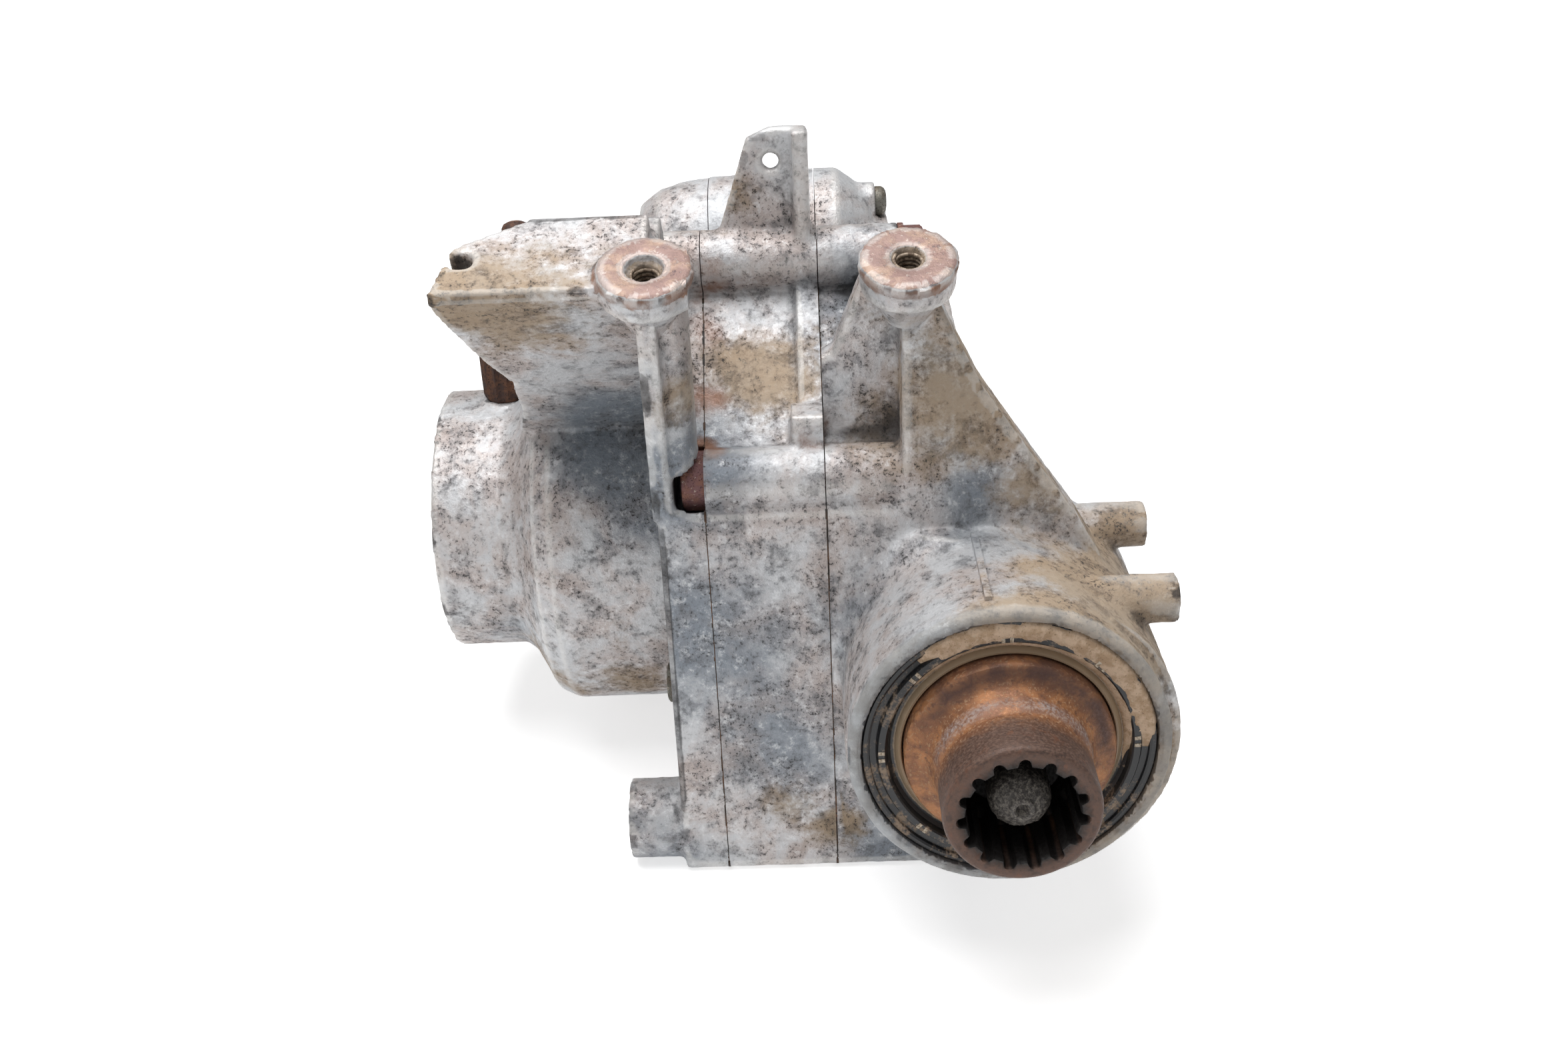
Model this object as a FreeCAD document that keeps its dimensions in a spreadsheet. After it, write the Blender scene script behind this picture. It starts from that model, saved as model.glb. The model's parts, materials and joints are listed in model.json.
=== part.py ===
import FreeCAD, Part
import math
import os
import re
import Sketcher

# Front differential: three castings stacked along the axle, a bevel pinion
# from the front and a two-spider differential inside.
# X runs along the axle, Y along the pinion towards the back, Z is up.

SIZES = {
    "left_seam_x": -71.0, "right_seam_x": -41.0, "gasket_thick": 0.6,
    "flange_left_x": -83.0, "upper_right_x": -20.0, "lower_right_x": -2.0,
    "front_y": -95.0, "back_y": 68.0, "floor_z": -66.0, "roof_z": 90.0,
    "brow_z": 44.0, "brow_y": -46.0, "nape_z": 40.0, "nape_y": 26.0, "case_round": 3.0,
    "ring_gap": 4.0, "ring_cavity_r": "flange_r + ring_gap", "bell_cavity_r": 50.0, "wall": 6.0,
    "bell_r": 57.0, "bell_end_x": -126.0, "tube_r": 39.5, "tube_end_x": -155.0,
    "housing_r": 38.0, "housing_face_y": -137.0, "housing_back_y": -62.0,
    "swell_x": 2.0, "swell_z": -4.0, "swell_r": 40.5, "swell_front_y": -128.0,
    "pad_tilt": 22.0, "pad_r": 11.2, "pad_height": 8.0, "pad_left_x": -81.0,
    "pad_right_x": -20.5, "pad_y": -100.0, "pad_z": 105.0, "pad_slope": 4.6,
    "pad_tap_r": 3.4, "pad_tap_deep": 20.0, "pad_sink_r": 4.5,
    "column_r": 6.0, "column_y": -89.0,
    "arm_tip_x": -131.0, "arm_waist_x": -121.2, "arm_waist_z": 68.7, "arm_deep": 27.0,
    "arm_foot_y": -33.0, "arm_foot_z": 41.0,
    "arm_thick": 8.0, "keyhole_x": -124.5, "keyhole_slope": 12.0, "keyhole_r": 3.0,
    "keyhole_gap": 3.0,
    "brow_boss_y": -46.0, "brow_boss_z": 94.0, "brow_boss_r": 8.0,
    "chin_boss_y": -87.0, "chin_boss_z": 50.0, "chin_boss_r": 8.0, "chin_pocket_r": 8.6,
    "dome_y": 5.0, "dome_z": 84.0, "dome_r": 20.0, "dome_left_x": -87.0,
    "dome_right_x": -26.0, "vent_z": 94.3, "vent_r": 4.2, "vent_bore_r": 3.0,
    "ribbed_x": -135.7, "ribbed_z": 40.2, "ribbed_r": 6.6, "ribbed_top_z": 68.0, "ribbed_stem_r": 3.5,
    "arm_plug_x": -113.8, "arm_plug_y": -71.8, "arm_plug_z": 110.5, "arm_plug_r": 3.4,
    "ear_y": -43.0, "ear_thick": 4.0, "ear_top_z": 128.0, "ear_left_x": -68.0,
    "ear_right_x": -42.5, "ear_hole_x": -52.0, "ear_hole_z": 119.5, "ear_hole_r": 2.25,
    "lug_y": -84.0, "lug_z": -55.0, "lug_r": 11.0, "lug_left_x": -98.0, "lug_bore_r": 5.25,
    "stud_r": 6.0, "stud_end_x": 42.5, "stud_z": 26.0, "stud_front_y": -112.0,
    "stud_back_y": -72.0, "stud_tap_r": 2.5, "stud_tap_deep": 14.0,
    "nose_r": 26.0, "nose_end_x": 13.0,
    "seal_seat_r": 35.0, "seal_journal_r": 25.0, "seal_wide": 8.0, "lip_gap": 0.05,
    "pinion_bearing_out_r": 31.0, "pinion_bearing_wide": 16.0, "pinion_bearing_in_r": 15.0,
    "pinion_shoulder_y": "-(ring_pitch_r + 12)", "pinion_front_ring_y": -117.0, "roller_gap": 0.3,
    "left_bearing_out_r": 37.5, "left_bearing_in_r": 22.5, "left_bearing_x": -116.0,
    "left_bearing_wide": 16.0,
    "right_bearing_out_r": 27.5, "right_bearing_in_r": 15.0, "right_bearing_x": -8.0,
    "right_bearing_wide": 13.0,
    "tube_bearing_x": -143.0,
    "coupler_r": 18.0, "coupler_end_y": -162.0, "spline_root_r": 14.75,
    "spline_tip_r": 12.75, "spline_count": 15.0,
    "ring_teeth": 33.0, "pinion_teeth": 11.0, "ring_pitch_r": "flange_r - 2", "ring_face": 16.0,
    "ring_bore_r": 30.0,
    "side_teeth": 14.0, "spider_teeth": 10.0, "side_pitch_r": 25.2, "side_face": 9.5,
    "side_back": 24.3, "spider_back": 29.5, "thrust_thick": 1.0,
    "centre_x": -65.0, "barrel_r": 42.0, "barrel_in_r": 34.5, "cross_pin_r": 7.0,
    "left_shaft_r": 15.0, "side_hub_r": 11.0, "axle_pilot_r": 8.0,
    "flange_r": "ring_bolt_circle_r + 6.5", "ring_back_x": -33.0,
    "ring_bolt_circle_r": "barrel_r + 7.5", "ring_bolts": 10.0, "cap_bolt_circle_r": 38.2,
    "cover_bolt_circle_r": "ring_cavity_r + 6", "cover_bolt_r": 3.0, "clamp_bolt_r": 4.0,
    "bolt_slack": 0.4, "plug_x": -56.0, "drain_z": -45.0,
}

doc = FreeCAD.newDocument("front_differential")
sheet = doc.addObject("Spreadsheet::Sheet", "Sizes")
for row, (alias, value) in enumerate(SIZES.items(), start=1):
    sheet.set("A%d" % row, alias)
    sheet.setAlias("B%d" % row, alias)
    if not isinstance(value, str):
        sheet.set("B%d" % row, str(value))
for row, value in enumerate(SIZES.values(), start=1):
    if isinstance(value, str):
        sheet.set("B%d" % row, "=" + value)
doc.recompute()

NAME = re.compile(r"[a-z][a-z_]*[a-z]")
NODES = []


def size(alias):
    return float(sheet.get(alias))


def formula(text):
    return NAME.sub(lambda m: "Sizes." + m.group(0) if m.group(0) in SIZES else m.group(0), str(text))


def bind(item, **values):
    for prop, text in values.items():
        item.setExpression(prop.replace("__", "."), formula(text))


def place(item, x="0", y="0", z="0"):
    bind(item, Placement__Base__x=x, Placement__Base__y=y, Placement__Base__z=z)


TURN = {
    "X": FreeCAD.Rotation(FreeCAD.Vector(0, 1, 0), 90),
    "Y": FreeCAD.Rotation(FreeCAD.Vector(1, 0, 0), -90),
    "Z": FreeCAD.Rotation(),
}


def aim(item, axis, start, a, b):
    item.Placement.Rotation = TURN[axis]
    spots = {"X": (start, a, b), "Y": (a, start, b), "Z": (a, b, start)}
    place(item, *spots[axis])


# Primitives: rods, cones and blocks given by their ends.
def rod(axis, radius, start, end, a="0", b="0"):
    item = doc.addObject("Part::Cylinder", "rod")
    bind(item, Radius=radius, Height="(%s) - (%s)" % (end, start))
    aim(item, axis, start, a, b)
    return item


def cone(axis, radius_start, radius_end, start, end, a="0", b="0"):
    item = doc.addObject("Part::Cone", "cone")
    bind(item, Radius1=radius_start, Radius2=radius_end, Height="(%s) - (%s)" % (end, start))
    aim(item, axis, start, a, b)
    return item


def hexagon(axis, flats, start, end, a="0", b="0"):
    item = doc.addObject("Part::Prism", "hexagon")
    item.Polygon = 6
    bind(item, Circumradius="(%s) / 1.7320508" % flats, Height="(%s) - (%s)" % (end, start))
    aim(item, axis, start, a, b)
    return item


def block(x0, x1, y0, y1, z0, z1):
    item = doc.addObject("Part::Box", "block")
    bind(item, Length="(%s) - (%s)" % (x1, x0), Width="(%s) - (%s)" % (y1, y0))
    bind(item, Height="(%s) - (%s)" % (z1, z0))
    place(item, x0, y0, z0)
    return item


def join(name, *items):
    item = doc.addObject("Part::MultiFuse", name)
    item.Shapes = list(items)
    item.Refine = True
    return item


def group(name, *items):
    item = doc.addObject("Part::Compound", name)
    item.Links = list(items)
    return item


def cut(name, base, *tools):
    item = doc.addObject("Part::Cut", name)
    item.Base = base
    item.Tool = tools[0] if len(tools) == 1 else join("tools", *tools)
    return item


def common(name, first, second):
    item = doc.addObject("Part::MultiCommon", name)
    item.Shapes = [first, second]
    return item


# Sketched pieces: an outline whose corners are tied to the sheet.
def outline(body, plane, corners):
    sketch = body.newObject("Sketcher::SketchObject", "outline")
    origin = [f for f in body.Origin.OriginFeatures if f.Role == plane][0]
    sketch.AttachmentSupport = [(origin, "")]
    sketch.MapMode = "FlatFace"
    spots = [[doc_value(u), doc_value(v)] for u, v in corners]
    total = len(spots)
    for i, (u, v) in enumerate(spots):
        far = spots[(i + 1) % total]
        line = Part.LineSegment(FreeCAD.Vector(u, v, 0), FreeCAD.Vector(far[0], far[1], 0))
        sketch.addGeometry(line, False)
    for i in range(total):
        sketch.addConstraint(Sketcher.Constraint("Coincident", i, 2, (i + 1) % total, 1))
    for i, (u, v) in enumerate(corners):
        tie(sketch, "DistanceX", i, u, spots[i][0])
        tie(sketch, "DistanceY", i, v, spots[i][1])
    return sketch


def tie(sketch, kind, corner, text, value):
    number = sketch.addConstraint(Sketcher.Constraint(kind, -1, 1, corner, 1, value))
    sketch.setExpression("Constraints[%d]" % number, formula(text))


def doc_value(text):
    pad = FreeCAD.ActiveDocument.getObject("Probe")
    if pad is None:
        pad = doc.addObject("App::FeaturePython", "Probe")
        pad.addProperty("App::PropertyFloat", "Value")
    pad.setExpression("Value", formula(text))
    pad.recompute()
    return pad.Value


def slab(plane, corners, length, rounding=None):
    body = doc.addObject("PartDesign::Body", "slab")
    sketch = outline(body, plane, corners)
    pad = body.newObject("PartDesign::Pad", "pad")
    pad.Profile = sketch
    bind(pad, Length=length)
    body.Tip = pad
    if rounding:
        doc.recompute()
        normal = sketch.Placement.Rotation.multVec(FreeCAD.Vector(0, 0, 1))
        names = []
        for i, edge in enumerate(pad.Shape.Edges, start=1):
            along = edge.Vertexes[-1].Point - edge.Vertexes[0].Point
            if along.Length > 0 and abs(along.normalize() * normal) > 0.999:
                names.append("Edge%d" % i)
        fillet = body.newObject("PartDesign::Fillet", "rounding")
        fillet.Base = (pad, names)
        bind(fillet, Radius=rounding)
        body.Tip = fillet
    return body


def slab_x(corners, start, end, rounding=None):
    body = slab("YZ_Plane", corners, "(%s) - (%s)" % (end, start), rounding)
    place(body, x=start)
    return body


def slab_y(corners, start, end, rounding=None):
    body = slab("XZ_Plane", corners, "(%s) - (%s)" % (end, start), rounding)
    place(body, y=end)
    return body


def turned(axis, corners, a="0", b="0"):
    body = doc.addObject("PartDesign::Body", "turned")
    sketch = outline(body, "XZ_Plane", corners)
    turn = body.newObject("PartDesign::Revolution", "turn")
    turn.Profile = sketch
    turn.ReferenceAxis = (sketch, ["V_Axis"])
    turn.Angle = 360
    body.Tip = turn
    aim(body, axis, "0", a, b)
    return body


def ring(axis, outer, inner, start, end):
    return turned(axis, [(inner, start), (outer, start), (outer, end), (inner, end)])


def node(name, item):
    item.Label = name
    NODES.append((name, item))
    return item


# Outline of the case seen along the axle.
CASE = [
    ("front_y", "floor_z"), ("back_y", "floor_z"), ("back_y", "nape_z"),
    ("nape_y", "roof_z"), ("brow_y", "roof_z"), ("front_y", "brow_z"),
]


def case_slab(start, end):
    return slab_x(CASE, start, end, "case_round")


def chambers(start, end):
    front = slab_x([
        ("front_y + 7", "-38"), ("front_y + 20", "-38"),
        ("front_y + 20", "24"), ("front_y + 7", "36"),
    ], start, end)
    upper = slab_x([
        ("brow_y - 10", "roof_z - 22"), ("-24", "roof_z - 24"), ("14", "roof_z - 17"),
        ("10", "roof_z - 7"), ("brow_y + 4", "roof_z - 7"),
    ], start, end)
    return [front, upper]


COVER_SPOTS = [142, 202, 330, 22]
BROW_SPOT = ("brow_boss_y", "brow_boss_z")
REAR_SPOTS = [("60", "-57"), ("46", "52")]
CHIN_SPOT = ("chin_boss_y", "chin_boss_z")
DOWEL_SPOTS = [("34", "-60.5"), ("-66", "-52")]


def around(angle, radius):
    return ("(%s) * cos(%g deg)" % (radius, angle), "(%s) * sin(%g deg)" % (radius, angle))


def cover_holes(radius, start, end):
    spots = [around(a, "cover_bolt_circle_r") for a in COVER_SPOTS]
    return [rod("X", radius, start, end, y, z) for y, z in spots]


def clamp_holes(radius, start, end, *spots):
    return [rod("X", radius, start, end, y, z) for y, z in spots]


def dowel_holes(start, end):
    return [rod("X", "3", start, end, y, z) for y, z in DOWEL_SPOTS]


def tilted(item, x, slope, rise):
    item.Placement.Rotation = FreeCAD.Rotation(FreeCAD.Vector(1, 0, 0), size("pad_tilt"))
    place(item, x, "pad_y + (%s) * cos(pad_tilt * 1 deg) - (%s) * sin(pad_tilt * 1 deg)" % (slope, rise),
          "pad_z + (%s) * sin(pad_tilt * 1 deg) + (%s) * cos(pad_tilt * 1 deg)" % (slope, rise))
    bind(item, Placement__Rotation__Angle="pad_tilt * 1 deg")
    return item


def tilted_rod(radius, x, slope, low, high):
    item = doc.addObject("Part::Cylinder", "rod")
    bind(item, Radius=radius, Height="(%s) - (%s)" % (high, low))
    return tilted(item, x, slope, low)


def pad(x):
    return tilted_rod("pad_r", x, "pad_slope", "2 - pad_height", "2")


def pad_tap(x):
    return [
        tilted_rod("pad_tap_r", x, "pad_slope", "2 - pad_tap_deep", "3"),
        tilted_rod("pad_sink_r", x, "pad_slope", "0", "3"),
    ]


def left_arm():
    plate = slab("XY_Plane", [
        ("arm_tip_x", "0"), ("pad_left_x", "0"), ("pad_left_x", "arm_deep"),
        ("arm_tip_x + 22", "arm_deep"), ("arm_tip_x + 4", "arm_deep - 10"),
    ], "arm_thick")
    tilted(plate, "0", "0", "-arm_thick")
    nose = slab_x([
        ("pad_y - 1", "pad_z + 2"), ("pad_y - 1", "pad_z - 1"), ("pad_y + 13", "pad_z - 14"),
        ("-60", "pad_z - 14"), ("-60", "pad_z + 20"),
    ], "arm_tip_x - 1", "pad_left_x + 1")
    plate = common("plate", plate, nose)
    side = slab_x([
        ("pad_y", "pad_z - 2"), ("pad_y + 7.5", "pad_z - 2"), ("arm_foot_y + 8", "arm_foot_z + 6"),
        ("arm_foot_y", "arm_foot_z"),
    ], "arm_tip_x", "flange_left_x + 4")
    front = slab_y([
        ("arm_tip_x", "pad_z + 4"), ("arm_tip_x", "pad_z - 6"), ("arm_waist_x - 4.2", "arm_waist_z + 9.5"),
        ("arm_waist_x", "arm_waist_z"), ("arm_waist_x - 1.3", "54"), ("bell_end_x + 0.4", "arm_foot_z + 1.6"),
        ("bell_end_x", "30"), ("flange_left_x + 4", "30"), ("flange_left_x + 4", "pad_z + 4"),
    ], "pad_y - 5", "-20")
    web = common("web", side, front)
    keyhole = tilted_rod("keyhole_r", "keyhole_x", "keyhole_slope", "-arm_thick - 3", "3")
    gap = doc.addObject("Part::Box", "gap")
    bind(gap, Length="20", Width="keyhole_gap", Height="arm_thick + 6")
    tilted(gap, "keyhole_x - 20", "keyhole_slope - keyhole_gap / 2", "-arm_thick - 3")
    return [plate, web], [keyhole, gap]


# The three castings.
def left_case():
    seam = "left_seam_x - gasket_thick / 2"
    solid, holes = left_arm()
    bell = turned("X", [
        ("0", "flange_left_x + 2"), ("bell_r", "flange_left_x + 2"), ("bell_r", "bell_end_x + 8"),
        ("bell_r - 2.4", "bell_end_x + 3"), ("bell_r - 8", "bell_end_x"),
        ("tube_r + 3", "bell_end_x - 4"), ("tube_r", "bell_end_x - 8"), ("tube_r", "tube_end_x"),
        ("0", "tube_end_x"),
    ])
    web = slab_x([
        ("front_y", "brow_z - 2"), ("brow_y", "roof_z - 3"), ("brow_y - 20", "pad_z + 7"),
        ("pad_y", "pad_z - 1"),
    ], "flange_left_x - 1", "flange_left_x + 4")
    solid += [
        case_slab("flange_left_x", seam), bell, web,
        common("left_pad", pad("pad_left_x"), block("pad_left_x - 20", seam, "-120", "-80", "90", "120")),
        rod("Z", "column_r", "brow_z - 4", "pad_z", "pad_left_x + 3", "column_y"),
        rod("X", "brow_boss_r", "flange_left_x + 1", seam, "brow_boss_y", "brow_boss_z"),
        rod("X", "lug_r", "lug_left_x", seam, "lug_y", "lug_z"),
        turned("X", [
            ("0", "dome_left_x - 5"), ("6", "dome_left_x - 5"), ("11.5", "dome_left_x - 4"),
            ("15.4", "dome_left_x + 1.4"), ("dome_r - 2.6", "dome_left_x + 8"),
            ("dome_r - 1.5", seam), ("0", seam),
        ], "dome_y", "dome_z"),
        rod("Z", "ribbed_r + 0.8", "ribbed_z - 5", "ribbed_z", "ribbed_x", "0"),
        block("arm_plug_x - 4.6", "arm_plug_x + 4.6", "arm_plug_y - 5.4", "arm_plug_y + 4.6",
              "arm_plug_z - 9.5", "arm_plug_z"),
    ]
    holes += pad_tap("pad_left_x")
    holes += cover_holes("cover_bolt_r + bolt_slack", "flange_left_x - 9", "left_seam_x + 1")
    holes += cover_holes("7.5", "flange_left_x - 12", "flange_left_x")
    holes += clamp_holes("clamp_bolt_r + bolt_slack", "flange_left_x - 9", "left_seam_x + 1", *REAR_SPOTS)
    holes += clamp_holes("clamp_bolt_r", "left_seam_x - 9", "left_seam_x + 1", BROW_SPOT)
    holes += dowel_holes("left_seam_x - 6", "left_seam_x + 1")
    holes += chambers("flange_left_x + wall", "left_seam_x + 1")
    holes += [
        rod("X", "chin_pocket_r", "flange_left_x + 4.5", "left_seam_x + 1", "chin_boss_y", "chin_boss_z"),
        rod("Z", "ribbed_stem_r", "ribbed_z - 5.5", "ribbed_z + 1", "ribbed_x", "0"),
        rod("Z", "ribbed_r + 0.6", "ribbed_z", "ribbed_z + 9", "ribbed_x", "0"),
        rod("Z", "2", "arm_plug_z - 5", "arm_plug_z + 1", "arm_plug_x", "arm_plug_y"),
        rod("X", "lug_bore_r", "lug_left_x - 1", "left_seam_x + 1", "lug_y", "lug_z"),
        rod("X", "ring_cavity_r", "flange_left_x + wall", "left_seam_x + 1"),
        rod("X", "bell_cavity_r", "left_bearing_x + left_bearing_wide", "flange_left_x + wall + 1"),
        turned("X", [
            ("left_bearing_out_r + 6", "left_bearing_x - 3"), ("bell_cavity_r", "left_bearing_x - 3"),
            ("bell_cavity_r", "left_bearing_x + 17"), ("left_bearing_out_r + 6", "left_bearing_x + 17"),
        ]),
        rod("X", "left_bearing_out_r", "left_bearing_x", "flange_left_x"),
        rod("X", "pinion_bearing_out_r - 4", "tube_end_x - 1", "flange_left_x"),
        rod("X", "pinion_bearing_out_r", "tube_end_x - 1", "tube_bearing_x + pinion_bearing_wide"),
        ring("X", "pinion_bearing_out_r + 1.5", "20", "tube_bearing_x - 1.6", "tube_bearing_x"),
    ]
    return node("left_case", cut("left_case", join("left_solid", *solid), *holes))


def centre_case():
    start, end = "left_seam_x + gasket_thick / 2", "right_seam_x - gasket_thick / 2"
    ear = slab_y([
        ("ear_left_x", "roof_z - 2"), ("ear_right_x", "roof_z - 2"), ("ear_right_x", "ear_top_z"),
        ("ear_hole_x", "ear_top_z"), ("ear_hole_x - 6", "ear_top_z - 2.5"), ("ear_left_x", "roof_z + 6"),
    ], "ear_y - ear_thick", "ear_y")
    strip = slab_x([
        ("front_y + 3", "brow_z + 6"), ("front_y + 7", "brow_z + 1"), ("brow_y + 1", "roof_z - 3"),
        ("brow_y - 4", "roof_z"),
    ], "right_seam_x - 6", end)
    solid = [
        case_slab(start, end), ear, strip,
        block("ear_right_x - 4", "ear_right_x", "ear_y - 9", "ear_y", "roof_z - 2", "ear_top_z"),
        block("right_seam_x - 8", end, "front_y + 8", "front_y + 18", "chin_boss_z + 6", "chin_boss_z + 16"),
        rod("X", "brow_boss_r", start, end, "brow_boss_y", "brow_boss_z"),
        rod("X", "chin_boss_r", start, end, "chin_boss_y", "chin_boss_z"),
        rod("X", "lug_r", start, end, "lug_y", "lug_z"),
        cone("X", "dome_r - 1.5", "dome_r", start, end, "dome_y", "dome_z"),
    ]
    out, past = "left_seam_x - 1", "right_seam_x + 1"
    holes = chambers(out, past)
    holes += cover_holes("cover_bolt_r", out, "left_seam_x + 17")
    holes += clamp_holes("clamp_bolt_r + bolt_slack", out, past, BROW_SPOT, CHIN_SPOT, *REAR_SPOTS)
    holes += dowel_holes(out, "left_seam_x + 6") + dowel_holes("right_seam_x - 6", past)
    holes += [
        rod("X", "ring_cavity_r", out, past),
        rod("X", "lug_bore_r", out, past, "lug_y", "lug_z"),
        rod("Y", "ear_hole_r", "ear_y - 12", "ear_y + 3", "ear_hole_x", "ear_hole_z"),
        rod("Y", "7", "50", "back_y + 1", "plug_x", "0"),
        rod("Y", "5", "30", "back_y + 1", "plug_x", "drain_z"),
    ]
    return node("centre_case", cut("centre_case", join("centre_solid", *solid), *holes))


def right_case():
    start = "right_seam_x + gasket_thick / 2"
    lower = slab_x([
        ("front_y", "floor_z"), ("back_y", "floor_z"), ("back_y", "20"), ("20", "ring_cavity_r + 6"),
        ("-40", "ring_cavity_r + 3"), ("front_y", "brow_z - 10"),
    ], "upper_right_x - 5", "lower_right_x", "case_round")
    arm = slab_y([
        ("pad_right_x - 1.5", "pad_z - 3"), ("pad_right_x - 1.5", "20"), ("29", "20"), ("27", "29.5"),
        ("21", "40"), ("12", "53"), ("-3.5", "76.3"), ("-13.8", "pad_z - 7"), ("-14", "pad_z - 3"),
    ], "front_y", "front_y + 12", "2")
    side = slab_x([
        ("front_y + 2", "20"), ("-50", "20"), ("-50", "roof_z - 20"), ("front_y + 2", "pad_z - 4"),
    ], "pad_right_x - 1.5", "pad_right_x + 5.5")
    gusset = slab_y([
        (start, "brow_z + 8"), (start, "78"), ("right_seam_x + 2.6", "80"), ("pad_right_x - 9.1", "pad_z - 4"),
        ("pad_right_x", "pad_z - 4"), ("pad_right_x", "brow_z + 8"),
    ], "front_y + 15", "front_y + 23")
    brow = slab_x([
        ("front_y + 4", "pad_z - 5"), ("front_y + 18", "pad_z"), ("brow_y", "roof_z - 2"),
        ("brow_y - 8", "roof_z - 14"),
    ], "pad_right_x - 9", "pad_right_x - 1")
    solid = [
        case_slab(start, "upper_right_x"), lower, arm, side, gusset, brow, pad("pad_right_x"),
        rod("X", "brow_boss_r", start, "upper_right_x", "brow_boss_y", "brow_boss_z"),
        rod("X", "chin_boss_r", start, "pad_right_x", "chin_boss_y", "chin_boss_z"),
        rod("X", "lug_r", start, "lower_right_x", "lug_y", "lug_z"),
        turned("X", [
            ("0", start), ("dome_r", start), ("dome_r", "dome_right_x - 8.7"),
            ("dome_r - 3", "dome_right_x - 4.3"), ("13.4", "dome_right_x"), ("9", "dome_right_x + 2"),
            ("0", "dome_right_x + 2"),
        ], "dome_y", "dome_z"),
        rod("X", "vent_r + 1.3", "dome_right_x - 4", "dome_right_x + 2.5", "dome_y", "vent_z"),
        common("housing", rod("Y", "housing_r", "housing_face_y", "housing_back_y"),
               block(start, "housing_r + 1", "housing_face_y", "housing_back_y", "-housing_r", "housing_r")),
        rod("Y", "swell_r", "swell_front_y", "housing_back_y", "swell_x", "swell_z"),
        common("valley", cone("Y", "housing_r", "housing_r + 7", "front_y - 8", "front_y + 2"),
               block(start, "0", "front_y - 8", "front_y + 2", "floor_z", "housing_r")),
        rod("Y", "32", "housing_back_y - 8", "-30"),
        rod("X", "stud_r", "0", "stud_end_x", "stud_front_y", "stud_z"),
        rod("X", "stud_r", "0", "stud_end_x", "stud_back_y", "stud_z"),
        rod("X", "right_bearing_out_r + 5", "right_bearing_x - 1", "nose_end_x - 5"),
        rod("X", "nose_r", "lower_right_x", "nose_end_x"),
    ]
    cavity_end = "lower_right_x - wall"
    holes = pad_tap("pad_right_x")
    holes += clamp_holes("clamp_bolt_r", "right_seam_x - 1", "right_seam_x + 17", CHIN_SPOT, *REAR_SPOTS)
    holes += clamp_holes("clamp_bolt_r + bolt_slack", "right_seam_x - 1", "upper_right_x + 1", BROW_SPOT)
    holes += dowel_holes("right_seam_x - 1", "right_seam_x + 6")
    holes += [
        rod("X", "stud_tap_r", "stud_end_x - stud_tap_deep", "stud_end_x + 1", "stud_front_y", "stud_z"),
        rod("X", "stud_tap_r", "stud_end_x - stud_tap_deep", "stud_end_x + 1", "stud_back_y", "stud_z"),
        rod("X", "lug_bore_r", "right_seam_x - 1", "lower_right_x + 1", "lug_y", "lug_z"),
        rod("X", "ring_cavity_r", "right_seam_x - 1", cavity_end),
        rod("Y", "25", "pinion_shoulder_y - 2", "-36"),
        rod("Y", "pinion_bearing_out_r", "housing_face_y - 1", "pinion_shoulder_y"),
        rod("Y", "seal_seat_r", "housing_face_y - 1", "housing_face_y + seal_wide + 2"),
        ring("Y", "pinion_bearing_out_r + 1.5", "25", "pinion_front_ring_y - 1.6", "pinion_front_ring_y"),
        rod("X", "right_bearing_out_r", "right_bearing_x - 2", "right_bearing_x + right_bearing_wide"),
        rod("X", "20", "0", "nose_end_x + 1"),
        rod("X", "vent_bore_r", "dome_right_x - 12", "dome_right_x + 3", "dome_y", "vent_z"),
        rod("Z", "2", "roof_z - 9", "vent_z", "dome_right_x - 11", "dome_y"),
        rod("X", "2", "right_seam_x - 1", "dome_right_x - 11", "dome_y", "roof_z - 9"),
    ]
    seat = cut("seat", rod("X", "right_bearing_out_r + 5", "right_bearing_x", "lower_right_x + 1"),
               rod("X", "right_bearing_out_r", "right_bearing_x - 1", "lower_right_x + 2"))
    wall = common("housing_wall", rod("Y", "housing_r", "front_y", "housing_back_y"),
                  block("right_seam_x + 3", "lower_right_x", "front_y", "housing_back_y", "-40", "40"))
    housing = cut("housing_in", wall, rod("Y", "pinion_bearing_out_r", "front_y - 1", "pinion_shoulder_y"),
                  rod("Y", "25", "front_y - 1", "-36"))
    cored = cut("right_cored", join("right_solid", *solid), *holes)
    return node("right_case", join("right_case", cored, seat, housing))


def gaskets():
    for name, seam in (("left_gasket", "left_seam_x"), ("right_gasket", "right_seam_x")):
        start, end = seam + " - gasket_thick / 2", seam + " + gasket_thick / 2"
        out, past = seam + " - 1", seam + " + 1"
        tools = clamp_holes("clamp_bolt_r + bolt_slack", out, past, BROW_SPOT, *REAR_SPOTS)
        tools += dowel_holes(out, past) + chambers(out, past)
        if name == "left_gasket":
            tools += cover_holes("cover_bolt_r + bolt_slack", out, past)
            tools += clamp_holes("chin_pocket_r", out, past, CHIN_SPOT)
        else:
            tools += clamp_holes("clamp_bolt_r + bolt_slack", out, past, CHIN_SPOT)
        tools += [
            rod("X", "ring_cavity_r", out, past),
            rod("X", "lug_bore_r", out, past, "lug_y", "lug_z"),
        ]
        node(name, cut(name, case_slab(start, end), *tools))


# Seals, bearings and retaining rings of the housing.
def seal(name, axis, outer, inner, start, end):
    rim = "(%s) + 2.5" % inner
    middle = "((%s) + (%s)) / 2" % (start, end)
    node(name, turned(axis, [
        (outer, start), (outer, end), ("(%s) - 2" % outer, end), (rim, middle),
        (inner, middle + " - 0.8"), (rim, start),
    ]))


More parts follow.
